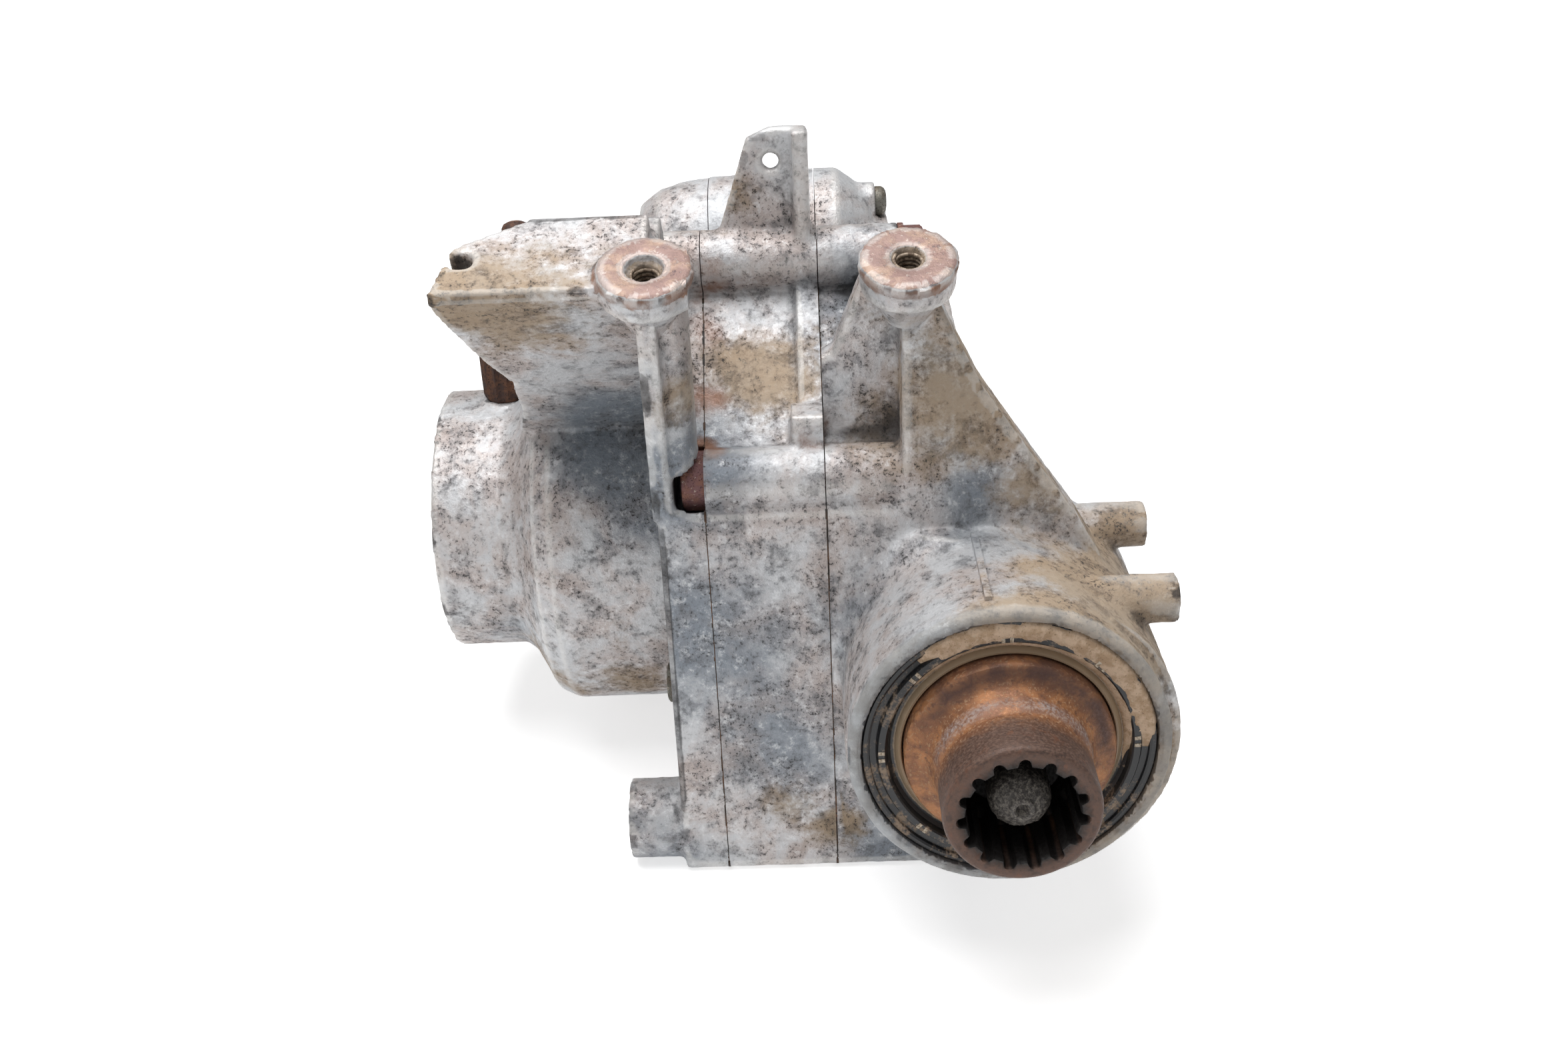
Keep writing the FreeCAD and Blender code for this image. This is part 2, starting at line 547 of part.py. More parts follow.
def bearing(name, axis, inner, outer, rim_in, rim_out, start, wide, rollers):
    end = "(%s) + (%s)" % (start, wide)
    radius = "((%s) - (%s) - (%s) - (%s) - roller_gap) / 2" % (outer, rim_out, inner, rim_in)
    node(name + "_outer_ring", ring(axis, outer, "(%s) - (%s)" % (outer, rim_out), start, end))
    node(name + "_inner_ring", ring(axis, "(%s) + (%s)" % (inner, rim_in), inner, start, end))
    orbit = "(%s) - (%s) - (%s)" % (outer, rim_out, radius)
    cage = ring(axis, "(%s) + 0.9" % orbit, "(%s) - 0.9" % orbit,
                "(%s) + 1.5" % start, "(%s) - 1.5" % end)
    bars = []
    for i in range(rollers):
        spot = around(360.0 * i / rollers, orbit)
        bars.append(rod(axis, radius, "(%s) + 3" % start, "(%s) - 3" % end, *spot))
    node(name + "_rollers", join(name + "_rollers", cage, *bars))


def snap_ring(name, axis, outer, inner, start, end, gap):
    band = ring(axis, outer, inner, start, end)
    if axis == "X":
        slot = block("%s - 1" % start, "%s + 1" % end, "-(%s)" % gap, gap, "0", "(%s) + 2" % outer)
    else:
        slot = block("-(%s)" % gap, gap, "%s - 1" % start, "%s + 1" % end, "0", "(%s) + 2" % outer)
    node(name, cut(name, band, slot))


def housing_parts():
    seal("pinion_seal", "Y", "seal_seat_r", "seal_journal_r + lip_gap",
         "housing_face_y + 1", "housing_face_y + 1 + seal_wide")
    seal("left_axle_seal", "X", "pinion_bearing_out_r", "left_shaft_r + 5 + lip_gap",
         "tube_end_x + 1", "tube_end_x + 8")
    seal("right_axle_seal", "X", "20", "side_hub_r + lip_gap", "nose_end_x - 7", "nose_end_x - 1")
    bearing("pinion_front_bearing", "Y", "pinion_bearing_in_r", "pinion_bearing_out_r", "4.5", "4.5",
            "pinion_front_ring_y", "pinion_bearing_wide", 10)
    bearing("pinion_rear_bearing", "Y", "pinion_bearing_in_r", "pinion_bearing_out_r", "4.5", "4.5",
            "pinion_shoulder_y - pinion_bearing_wide", "pinion_bearing_wide", 10)
    bearing("carrier_left_bearing", "X", "left_bearing_in_r", "left_bearing_out_r", "5", "5",
            "left_bearing_x", "left_bearing_wide", 12)
    bearing("carrier_right_bearing", "X", "right_bearing_in_r", "right_bearing_out_r", "3.5", "4",
            "right_bearing_x", "right_bearing_wide", 12)
    bearing("output_bearing", "X", "left_shaft_r", "pinion_bearing_out_r", "4.5", "4.5",
            "tube_bearing_x", "pinion_bearing_wide", 10)
    node("bearing_spacer", ring("Y", "pinion_bearing_out_r", "pinion_bearing_out_r - 4",
                                "pinion_front_ring_y + pinion_bearing_wide",
                                "pinion_shoulder_y - pinion_bearing_wide"))
    snap_ring("pinion_snap_ring", "Y", "pinion_bearing_out_r + 1.5", "pinion_bearing_out_r - 3",
              "pinion_front_ring_y - 1.6", "pinion_front_ring_y", "4")
    snap_ring("output_snap_ring", "X", "pinion_bearing_out_r + 1.5", "pinion_bearing_out_r - 3",
              "tube_bearing_x - 1.6", "tube_bearing_x", "4")


# Screws: a hexagon head, a flange and a shank, head towards -X.
def screw(y, z, seat, end, radius, flats, head):
    return [
        hexagon("X", flats, "%s - %s" % (seat, head), seat, y, z),
        rod("X", radius, seat, end, y, z),
    ]


def fasteners():
    covers = []
    for angle in COVER_SPOTS:
        y, z = around(angle, "cover_bolt_circle_r")
        bolt = screw(y, z, "flange_left_x", "left_seam_x + 15", "cover_bolt_r", "10", "4.5")
        covers.append(join("cover_bolt", *bolt))
    node("cover_bolts", group("cover_bolts", *covers))
    seat, back = "flange_left_x", "upper_right_x"
    clamps, washers = [], []
    for y, z in REAR_SPOTS:
        washers.append(washer("X", "8", "clamp_bolt_r + bolt_slack", seat + " - 1.5", seat, y, z))
        bolt = screw(y, z, seat + " - 1.5", "right_seam_x + 15", "clamp_bolt_r", "13", "5.3")
        clamps.append(join("clamp_bolt", *bolt))
    washers.append(washer("X", "8", "clamp_bolt_r + bolt_slack", back, back + " + 1.5", *BROW_SPOT))
    clamps.append(join("clamp_bolt",
                       hexagon("X", "13", back + " + 1.5", back + " + 6.8", *BROW_SPOT),
                       rod("X", "clamp_bolt_r", "left_seam_x - 7", back + " + 1.5", *BROW_SPOT)))
    node("clamp_bolts", group("clamp_bolts", *clamps))
    node("clamp_washers", group("clamp_washers", *washers))
    bolt = screw(*CHIN_SPOT, "left_seam_x + gasket_thick / 2", "right_seam_x + 15", "clamp_bolt_r", "13", "6")
    node("chin_bolt", join("chin_bolt", *bolt))
    pins = []
    for y, z in DOWEL_SPOTS:
        pins.append(rod("X", "3", "left_seam_x - 5.5", "left_seam_x + 5.5", y, z))
        pins.append(rod("X", "3", "right_seam_x - 5.5", "right_seam_x + 5.5", y, z))
    node("dowel_pins", group("dowel_pins", *pins))
    node("fill_plug", join("fill_plug",
         hexagon("Y", "17", "back_y + 1.5", "back_y + 8", "plug_x", "0"),
         rod("Y", "7", "back_y - 7", "back_y + 1.5", "plug_x", "0")))
    node("drain_plug", join("drain_plug",
         hexagon("Y", "13", "back_y + 1.5", "back_y + 7", "plug_x", "drain_z"),
         rod("Y", "5", "back_y - 12", "back_y + 1.5", "plug_x", "drain_z")))
    node("plug_washers", group("plug_washers",
         washer("Y", "10.5", "7", "back_y", "back_y + 1.5", "plug_x", "0"),
         washer("Y", "8", "5", "back_y", "back_y + 1.5", "plug_x", "drain_z")))
    cap = join("vent_solid",
               rod("X", "vent_bore_r - 0.1", "dome_right_x - 4", "dome_right_x + 2.5", "dome_y", "vent_z"),
               rod("X", "vent_r", "dome_right_x + 2.5", "dome_right_x + 4.5", "dome_y", "vent_z"),
               cone("X", "vent_r", "vent_r - 1.6", "dome_right_x + 4.5", "dome_right_x + 5.8",
                    "dome_y", "vent_z"))
    node("vent_cap", cut("vent_cap", cap,
         rod("X", "1", "dome_right_x - 5", "dome_right_x + 4", "dome_y", "vent_z")))
    ribbed_plug()


def washer(axis, outer, inner, start, end, a, b):
    return cut("washer", rod(axis, outer, start, end, a, b),
               rod(axis, inner, "(%s) - 1" % start, "(%s) + 1" % end, a, b))


# Ribbed plug on top of the tube and the small plug behind the arm.
def ribbed_plug():
    body = turned("Z", [
        ("0", "ribbed_z"), ("ribbed_r - 1", "ribbed_z"), ("ribbed_r", "ribbed_z + 1.5"),
        ("ribbed_r", "ribbed_top_z - 3"), ("ribbed_r - 2", "ribbed_top_z"), ("0", "ribbed_top_z"),
    ], "ribbed_x", "0")
    grooves = []
    for i in range(12):
        turn = "(%g deg)" % (360.0 * i / 12)
        grooves.append(rod("Z", "0.8", "ribbed_z - 1", "ribbed_top_z - 6",
                           "ribbed_x + (ribbed_r + 0.2) * cos" + turn, "(ribbed_r + 0.2) * sin" + turn))
    stem = rod("Z", "ribbed_stem_r - 0.1", "ribbed_z - 5", "ribbed_z + 3", "ribbed_x", "0")
    node("ribbed_plug", join("ribbed_plug", cut("ribbed_body", body, *grooves), stem))
    node("arm_plug", turned("Z", [
        ("0", "arm_plug_z - 4.5"), ("1.9", "arm_plug_z - 4.5"), ("1.9", "arm_plug_z"),
        ("arm_plug_r", "arm_plug_z"), ("arm_plug_r", "arm_plug_z + 3"),
        ("arm_plug_r - 1", "arm_plug_z + 4.3"), ("0", "arm_plug_z + 4.7"),
    ], "arm_plug_x", "arm_plug_y"))


# Bevel gears. The apex is the origin and the gear lies on the +Z side.
def involute_half(teeth_virtual, module, h, thinning):
    pitch = teeth_virtual * module / 2
    base = pitch * math.cos(math.radians(20))
    angle = math.pi / 2 / teeth_virtual + math.tan(math.radians(20)) - math.radians(20)
    r = max(pitch + h, base)
    press = math.acos(min(1.0, base / r))
    half = angle - (math.tan(press) - press)
    return max(0.12 * module, (pitch + h) * half - thinning)


def bevel(teeth, mate, pitch_r, face, head, foot, back, bore, rim=None, tooth_first=True):
    cone_angle = math.atan2(teeth, mate)
    reach = pitch_r / math.sin(cone_angle)
    module = 2 * pitch_r / teeth
    keep = (reach - face) / reach
    along = FreeCAD.Vector(math.sin(cone_angle), 0, math.cos(cone_angle))
    out = FreeCAD.Vector(math.cos(cone_angle), 0, -math.sin(cone_angle))
    virtual = teeth / math.cos(cone_angle)
    heights = [-foot * module - 0.4, -foot * module * 0.5, 0.0, head * module * 0.55, head * module]
    left, right = [], []
    for height in heights:
        half = involute_half(virtual, module, height, 0.06 * module)
        spot = along * reach + out * height
        left.append(spot + FreeCAD.Vector(0, half, 0))
        right.append(spot - FreeCAD.Vector(0, half, 0))
    big = left + right[::-1]
    small = [p * keep for p in big]
    faces = [Part.Face(Part.makePolygon(big + big[:1])), Part.Face(Part.makePolygon(small + small[:1]))]
    for i in range(len(big)):
        j = (i + 1) % len(big)
        faces.append(Part.Face(Part.makePolygon([big[i], big[j], small[j], small[i], big[i]])))
    tooth = Part.makeSolid(Part.makeShell(faces))
    root = along * reach - out * (foot * module)
    profile = [root * keep, root]
    if rim:
        low = root - out * 3
        profile += [FreeCAD.Vector(rim, 0, low.z), FreeCAD.Vector(rim, 0, back)]
        profile.insert(2, low)
    else:
        profile += [FreeCAD.Vector(root.x, 0, min(root.z + 1, back)), FreeCAD.Vector(root.x - 1.5, 0, back)]
    profile += [FreeCAD.Vector(bore, 0, back), FreeCAD.Vector(bore, 0, root.z * keep)]
    blank = Part.Face(Part.makePolygon(profile + profile[:1]))
    blank = blank.revolve(FreeCAD.Vector(), FreeCAD.Vector(0, 0, 1), 360)
    copies = []
    first = 0.0 if tooth_first else 180.0 / teeth
    for i in range(int(teeth)):
        copy = tooth.copy()
        copy.rotate(FreeCAD.Vector(), FreeCAD.Vector(0, 0, 1), first + 360.0 * i / teeth)
        copies.append(copy)
    return blank.fuse(copies).removeSplitter()


def gear(name, shape, placement):
    item = doc.addObject("Part::Feature", name)
    item.Shape = shape
    item.Placement = placement
    return item


def axes_placement(x_axis, z_axis, base):
    y_axis = z_axis.cross(x_axis)
    matrix = FreeCAD.Matrix(
        x_axis.x, y_axis.x, z_axis.x, base.x,
        x_axis.y, y_axis.y, z_axis.y, base.y,
        x_axis.z, y_axis.z, z_axis.z, base.z,
        0, 0, 0, 1)
    return FreeCAD.Placement(matrix)


EAST, NORTH, UP = FreeCAD.Vector(1, 0, 0), FreeCAD.Vector(0, 1, 0), FreeCAD.Vector(0, 0, 1)


def carrier_parts():
    shape = bevel(size("ring_teeth"), size("pinion_teeth"), size("ring_pitch_r"), size("ring_face"),
                  0.6, 1.25, -size("ring_back_x"), size("ring_bore_r"), rim=size("flange_r"))
    teeth = gear("ring_blank", shape, axes_placement(-NORTH, -EAST, FreeCAD.Vector()))
    taps, screws = [], []
    for i in range(int(size("ring_bolts"))):
        y, z = around(18 + 360.0 * i / size("ring_bolts"), "ring_bolt_circle_r")
        taps.append(rod("X", "cover_bolt_r", "ring_back_x - 1", "ring_back_x + 8", y, z))
        bolt = screw(y, z, "ring_back_x - 8", "ring_back_x + 7.5", "cover_bolt_r", "10", "4")
        screws.append(join("ring_bolt", *bolt))
    node("ring_gear", cut("ring_gear", teeth, *taps))
    node("ring_bolts", group("ring_bolts", *screws))
    joint = "centre_x - side_back - thrust_thick"
    barrel = turned("X", [
        ("0", joint), ("barrel_r", joint), ("barrel_r", "ring_back_x - 8"),
        ("flange_r", "ring_back_x - 8"), ("flange_r", "ring_back_x"), ("ring_bore_r", "ring_back_x"),
        ("ring_bore_r", "ring_back_x + 10"), ("right_bearing_in_r + 3", "ring_back_x + 13"),
        ("right_bearing_in_r + 3", "right_bearing_x"), ("right_bearing_in_r", "right_bearing_x"),
        ("right_bearing_in_r", "right_bearing_x + right_bearing_wide"),
        ("0", "right_bearing_x + right_bearing_wide"),
    ])
    seats = common("seats", rod("Z", "13", "-barrel_r + 2", "barrel_r - 2", "centre_x", "0"),
                   rod("X", "barrel_r - 1", "centre_x - 20", "centre_x + 20"))
    reach = "(spider_back + thrust_thick)"
    seats = cut("seat_pads", seats, rod("Z", "14", "-" + reach, reach, "centre_x", "0"))
    hollow = rod("X", "barrel_in_r", joint + " - 1", "centre_x + side_back + thrust_thick")
    window = slab_y([
        ("centre_x - 17", "-17"), ("centre_x + 17", "-17"), ("centre_x + 17", "17"), ("centre_x - 17", "17"),
    ], "-barrel_r - 2", "barrel_r + 2", "5")
    holes = [
        rod("Z", "cross_pin_r", "-barrel_r - 1", "barrel_r + 1", "centre_x", "0"),
        rod("X", "side_hub_r + 0.4", "centre_x", "10"),
    ]
    for i in range(int(size("ring_bolts"))):
        y, z = around(18 + 360.0 * i / size("ring_bolts"), "ring_bolt_circle_r")
        holes.append(rod("X", "cover_bolt_r + 0.3", "ring_back_x - 9", "ring_back_x + 1", y, z))
    cap_spots = [around(45 + 90 * i, "cap_bolt_circle_r") for i in range(4)]
    cap_taps = [rod("X", "2.5", joint + " - 1", "centre_x - 14", y, z) for y, z in cap_spots]
    shell = join("barrel", cut("barrel_shell", barrel, hollow, window), seats)
    node("diff_carrier", cut("diff_carrier", shell, *(holes + cap_taps)))
    cap = turned("X", [
        ("left_shaft_r + 0.5", joint), ("barrel_r", joint), ("barrel_r", "centre_x - 32"),
        ("left_bearing_in_r + 4", "centre_x - 32"),
        ("left_bearing_in_r + 4", "left_bearing_x + left_bearing_wide"),
        ("left_bearing_in_r", "left_bearing_x + left_bearing_wide"),
        ("left_bearing_in_r", "left_bearing_x - 1"), ("left_shaft_r + 0.5", "left_bearing_x - 1"),
    ])
    cap_holes = [rod("X", "2.8", "centre_x - 34", "centre_x - 25", y, z) for y, z in cap_spots]
    node("carrier_cap", cut("carrier_cap", cap, *cap_holes))
    caps = []
    for y, z in cap_spots:
        caps.append(join("cap_bolt", rod("X", "2.5", "centre_x - 32", "centre_x - 15", y, z),
                         rod("X", "3.6", "centre_x - 35", "centre_x - 32", y, z)))
    node("cap_bolts", group("cap_bolts", *caps))
    node("cross_pin", cut("cross_pin",
         rod("Z", "cross_pin_r", "-barrel_r + 0.5", "barrel_r - 0.5", "centre_x", "0"),
         rod("X", "1.5", "centre_x - 12", "centre_x + 12", "0", "barrel_r - 4")))
    node("cross_pin_lock", rod("X", "1.5", "centre_x - 6.5", "centre_x + 6.5", "0", "barrel_r - 4"))
    node("left_thrust_washer", ring("X", "23", "left_shaft_r + 0.5", joint, "centre_x - side_back"))
    node("right_thrust_washer", ring("X", "23", "side_hub_r + 0.4", "centre_x + side_back",
                                     "centre_x + side_back + thrust_thick"))
    node("spider_washers", group("spider_washers",
         washer("Z", "12", "cross_pin_r", "spider_back", reach, "centre_x", "0"),
         washer("Z", "12", "cross_pin_r", "-" + reach, "-spider_back", "centre_x", "0")))


def side_gears():
    centre = FreeCAD.Vector(size("centre_x"), 0, 0)
    shape = bevel(size("side_teeth"), size("spider_teeth"), size("side_pitch_r"), size("side_face"),
                  0.7, 1.15, size("side_back"), size("side_hub_r"))
    left = gear("left_blank", shape, axes_placement(UP, -EAST, centre))
    right = gear("right_blank", shape, axes_placement(UP, EAST, centre))
    node("left_side_gear", left)
    hub = cut("right_hub", rod("X", "side_hub_r", "centre_x + 11", "nose_end_x - 0.5"),
              spline_bore("axle_pilot_r", "axle_pilot_r + 1.1", "10", "nose_end_x - 38", "nose_end_x - 14.5"),
              rod("X", "axle_pilot_r + 1.1", "nose_end_x - 15", "nose_end_x"))
    node("right_side_gear", join("right_side_gear", right, hub))
    shaft = turned("X", [
        ("0", "centre_x - 10.5"), ("side_hub_r", "centre_x - 10.5"), ("side_hub_r", "centre_x - side_back"),
        ("left_shaft_r", "centre_x - side_back"), ("left_shaft_r", "tube_bearing_x"),
        ("left_shaft_r + 5", "tube_bearing_x"), ("left_shaft_r + 5", "tube_end_x + 0.5"),
        ("0", "tube_end_x + 0.5"),
    ])
    node("left_output_shaft", cut("left_output_shaft", shaft,
         rod("X", "axle_pilot_r + 4.6", "tube_end_x", "tube_end_x + 10"),
         spline_bore("axle_pilot_r + 2.5", "axle_pilot_r + 3.7", "14", "tube_end_x + 9", "tube_end_x + 34")))
    shape = bevel(size("spider_teeth"), size("side_teeth"),
                  size("side_pitch_r") * size("spider_teeth") / size("side_teeth"), size("side_face"),
                  0.9, 0.95, size("spider_back"), size("cross_pin_r") + 0.05, tooth_first=False)
    node("spider_gear_top", gear("spider_top", shape, axes_placement(EAST, UP, centre)))
    node("spider_gear_bottom", gear("spider_bottom", shape, axes_placement(EAST, -UP, centre)))


def spline_bore(tip, root, count, start, end):
    keys = [rod("X", tip, start, end)]
    for i in range(int(count)):
        tooth = doc.addObject("Part::Box", "key")
        bind(tooth, Length="(%s)" % root, Width="(%s) * 2.8 / %s" % (tip, count))
        bind(tooth, Height="(%s) - (%s)" % (end, start))
        turn = FreeCAD.Rotation(UP, 360.0 * i / int(count))
        tooth.Placement.Rotation = TURN["X"] * turn
        shift = TURN["X"].multVec(turn.multVec(FreeCAD.Vector(0, -1, 0)))
        half = "(%s) * 1.4 / %s" % (tip, count)
        spot = ["%s * (%.9f)" % (half, shift[k]) for k in range(3)]
        spot[0] = start
        place(tooth, *spot)
        keys.append(tooth)
    return join("spline", *keys)


def pinion_parts():
    pinion_r = size("ring_pitch_r") * size("pinion_teeth") / size("ring_teeth")
    shape = bevel(size("pinion_teeth"), size("ring_teeth"), pinion_r, size("ring_face"),
                  1.0, 0.85, size("ring_pitch_r") + 8, 4.0, tooth_first=False)
    head = gear("pinion_head", shape, axes_placement(-EAST, -NORTH, FreeCAD.Vector()))
    stem = turned("Y", [
        ("0", "-39.5"), ("5", "-39.5"), ("5", "-60"), ("pinion_bearing_in_r + 4", "-61"),
        ("pinion_bearing_in_r + 4", "pinion_shoulder_y"), ("pinion_bearing_in_r", "pinion_shoulder_y"),
        ("pinion_bearing_in_r", "pinion_front_ring_y"), ("12", "pinion_front_ring_y"), ("12", "-136"),
        ("7.5", "-136"), ("7.5", "-143"), ("6", "-146.5"), ("3.2", "-149"), ("2.6", "-152.5"), ("0", "-154"),
    ])
    node("pinion_shaft", join("pinion_shaft", head, stem))
    node("inner_spacer", ring("Y", "pinion_bearing_in_r + 3.5", "pinion_bearing_in_r",
                              "pinion_front_ring_y + pinion_bearing_wide",
                              "pinion_shoulder_y - pinion_bearing_wide"))
    node("input_coupler", input_coupler())


def input_coupler():
    body = doc.addObject("PartDesign::Body", "coupler")
    sketch = outline(body, "XZ_Plane", [
        ("12", "pinion_front_ring_y"), ("18.5", "pinion_front_ring_y"), ("18.5", "pinion_front_ring_y - 3"),
        ("seal_journal_r", "pinion_front_ring_y - 4"), ("seal_journal_r", "housing_face_y - 1"),
        ("seal_journal_r - 1.5", "housing_face_y - 2.5"), ("coupler_r + 3", "housing_face_y - 4"),
        ("coupler_r + 3", "housing_face_y - 7"), ("coupler_r", "housing_face_y - 10"),
        ("coupler_r", "coupler_end_y + 1"), ("coupler_r - 1", "coupler_end_y"),
        ("spline_tip_r + 1", "coupler_end_y"), ("spline_tip_r", "coupler_end_y + 1"),
        ("spline_tip_r", "housing_face_y - 1"), ("12", "housing_face_y + 1"),
    ])
    turn = body.newObject("PartDesign::Revolution", "turn")
    turn.Profile = sketch
    turn.ReferenceAxis = (sketch, ["V_Axis"])
    turn.Angle = 360
    key = body.newObject("Sketcher::SketchObject", "key")
    origin = [f for f in body.Origin.OriginFeatures if f.Role == "XY_Plane"][0]
    key.AttachmentSupport = [(origin, "")]
    key.MapMode = "FlatFace"
    key.setExpression("AttachmentOffset.Base.z", formula("coupler_end_y - 1"))
    spots = [
        ("spline_tip_r - 1", "-1.6"), ("spline_root_r", "-1.1"),
        ("spline_root_r", "1.1"), ("spline_tip_r - 1", "1.6"),
    ]
    values = [FreeCAD.Vector(doc_value(u), doc_value(v), 0) for u, v in spots]
    for i in range(4):
        key.addGeometry(Part.LineSegment(values[i], values[(i + 1) % 4]), False)
    for i in range(4):
        key.addConstraint(Sketcher.Constraint("Coincident", i, 2, (i + 1) % 4, 1))
    for i, (u, v) in enumerate(spots):
        tie(key, "DistanceX", i, u, values[i].x)
        tie(key, "DistanceY", i, v, values[i].y)
    pocket = body.newObject("PartDesign::Pocket", "key_cut")
    pocket.Profile = key
    pocket.Reversed = True
    bind(pocket, Length="housing_face_y - 1 - (coupler_end_y - 1)")
    pattern = body.newObject("PartDesign::PolarPattern", "keys")
    pattern.Originals = [pocket]
    pattern.Axis = (key, ["N_Axis"])
    pattern.Angle = 360
    bind(pattern, Occurrences="spline_count")
    body.Tip = pattern
    body.Placement.Rotation = TURN["Y"]
    return body


left_case()
centre_case()
right_case()
gaskets()
housing_parts()
fasteners()
carrier_parts()
side_gears()
pinion_parts()
doc.recompute()

faulty = [o.Label for o in doc.Objects if "Invalid" in o.State or "Error" in o.State]
for name, item in NODES:
    if item.Shape.isNull() or not item.Shape.isValid() or not item.Shape.Solids:
        faulty.append(name)
if faulty:
    raise RuntimeError("faulty: " + ", ".join(faulty))
os.makedirs("parts", exist_ok=True)
for name, item in NODES:
    item.Shape.exportStep("parts/%s.step" % name)
    box = item.Shape.BoundBox
    print("%-28s solids %2d volume %10.1f x %.1f..%.1f y %.1f..%.1f z %.1f..%.1f" % (
        name, len(item.Shape.Solids), item.Shape.Volume,
        box.XMin, box.XMax, box.YMin, box.YMax, box.ZMin, box.ZMax))
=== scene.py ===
"""Front differential: cast, rusted and dusty pieces built around the CAD frame."""

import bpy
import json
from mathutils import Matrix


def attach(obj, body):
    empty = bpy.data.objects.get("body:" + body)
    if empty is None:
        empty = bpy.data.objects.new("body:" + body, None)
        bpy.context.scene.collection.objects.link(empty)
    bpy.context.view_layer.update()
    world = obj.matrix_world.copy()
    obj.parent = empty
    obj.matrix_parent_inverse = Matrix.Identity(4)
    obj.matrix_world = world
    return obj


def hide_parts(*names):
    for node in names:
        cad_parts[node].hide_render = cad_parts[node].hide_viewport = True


bl_info = {
    "name": "Front differential",
    "version": (1, 0, 0),
    "blender": (4, 5, 0),
    "location": "View3D > Sidebar > Differential",
    "description": "Builds the weathered castings, input end, seals and bolts of a front differential",
    "category": "Object",
}

import itertools
import json
import math

import bmesh
import bpy
import numpy as np
from mathutils import Matrix, Vector
from mathutils.bvhtree import BVHTree
from mathutils.kdtree import KDTree

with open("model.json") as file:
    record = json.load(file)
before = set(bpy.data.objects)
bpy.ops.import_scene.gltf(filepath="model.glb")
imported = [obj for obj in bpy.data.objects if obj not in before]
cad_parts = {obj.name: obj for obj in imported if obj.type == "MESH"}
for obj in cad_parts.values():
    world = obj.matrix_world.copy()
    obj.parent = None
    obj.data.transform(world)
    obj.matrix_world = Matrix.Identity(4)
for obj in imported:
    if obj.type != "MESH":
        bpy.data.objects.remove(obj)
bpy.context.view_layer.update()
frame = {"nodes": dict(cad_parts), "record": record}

MM = 0.001
CASTINGS = ("left_case", "centre_case", "right_case")


# Places, in millimetres in the row frame.
SEAMS = (-71.0, -41.0)
# Each casting's faces at the seams, as the place along X and the side that the face looks to.
SEAM_FACES = {
    "left_case": [(-71.3, 1)],
    "centre_case": [(-70.7, -1), (-41.3, 1)],
    "right_case": [(-40.7, -1)],
}
SEAM_STRETCH = 2.4
SEAM_CUT = 0.17
PAD_TILT = math.radians(22.0)
PAD_UP = np.array([0.0, -math.sin(PAD_TILT), math.cos(PAD_TILT)])
PAD_BACK = np.array([0.0, math.cos(PAD_TILT), math.sin(PAD_TILT)])
PAD_ROW = np.array([0.0, -100.0, 105.0])
PAD_SLOPE = 4.6
PAD_SPOTS = {"upper_left": -81.0, "upper_right": -20.5}
PAD_R = 11.2
# Walls that stay truly round: axis, radius, and from where to where along the axis.
ROUND_WALLS = (("X", 39.5, -155.0, -135.0), ("X", 57.0, -117.5, -84.0), ("Y", 38.0, -136.0, -118.0))
BROW_BOLT = (0.0, -46.0, 94.0)
CHIN_BOLT = (0.0, -87.0, 50.0)
REAR_BOLTS = ((60.0, -57.0), (46.0, 52.0))

# The castings' meshes: voxel of the coarse one that is used for shelter, in metres, and the most triangles.
SHELTER_GRAIN = 0.0024
MOST_TRIANGLES = 180000
RAY_COUNT = 44
HASH = (73856093, 19349663, 83492791)

# The stage, in metres and degrees.
FLOOR_Z = -0.0662
FLOOR_REACH = 6.0
CAMERA_PLACE = (-0.0435, -0.4516, 0.2185)
CAMERA_SIDE, CAMERA_LIFT, CAMERA_ROLL = 1.3, 26.4, 2.6

SLOTS = {row["node"]: row["material_slot"] for row in frame["record"]["subparts"]}


def pad_point(x, rise=2.0):
    """A point on the slanting plane of the two pads."""
    return PAD_ROW + [x, 0.0, 0.0] + PAD_BACK * PAD_SLOPE + PAD_UP * rise


def from_pad(points, x):
    """How far points are above the plane of the pad at x, and from its axis."""
    gap = points - pad_point(x)
    rise = gap @ PAD_UP
    return rise, np.linalg.norm(gap - np.outer(rise, PAD_UP), axis=1)


# Colours are written as on a screen, 0 to 255.
def tone(red, green, blue):
    def linear(value):
        value /= 255.0
        return value / 12.92 if value <= 0.04045 else ((value + 0.055) / 1.055) ** 2.4
    return (linear(red), linear(green), linear(blue), 1.0)


def colour_property(name, description, red, green, blue):
    return bpy.props.FloatVectorProperty(
        name=name, description=description, default=tone(red, green, blue),
        size=4, min=0.0, max=1.0, subtype="COLOR")


def length_property(name, description, default):
    return bpy.props.FloatProperty(
        name=name, description=description, default=default, min=0.0, unit="LENGTH", subtype="DISTANCE")


def amount_property(name, description, default):
    return bpy.props.FloatProperty(name=name, description=description, default=default)


def count_property(name, description, default, lowest=0):
    return bpy.props.IntProperty(name=name, description=description, default=default, min=lowest)


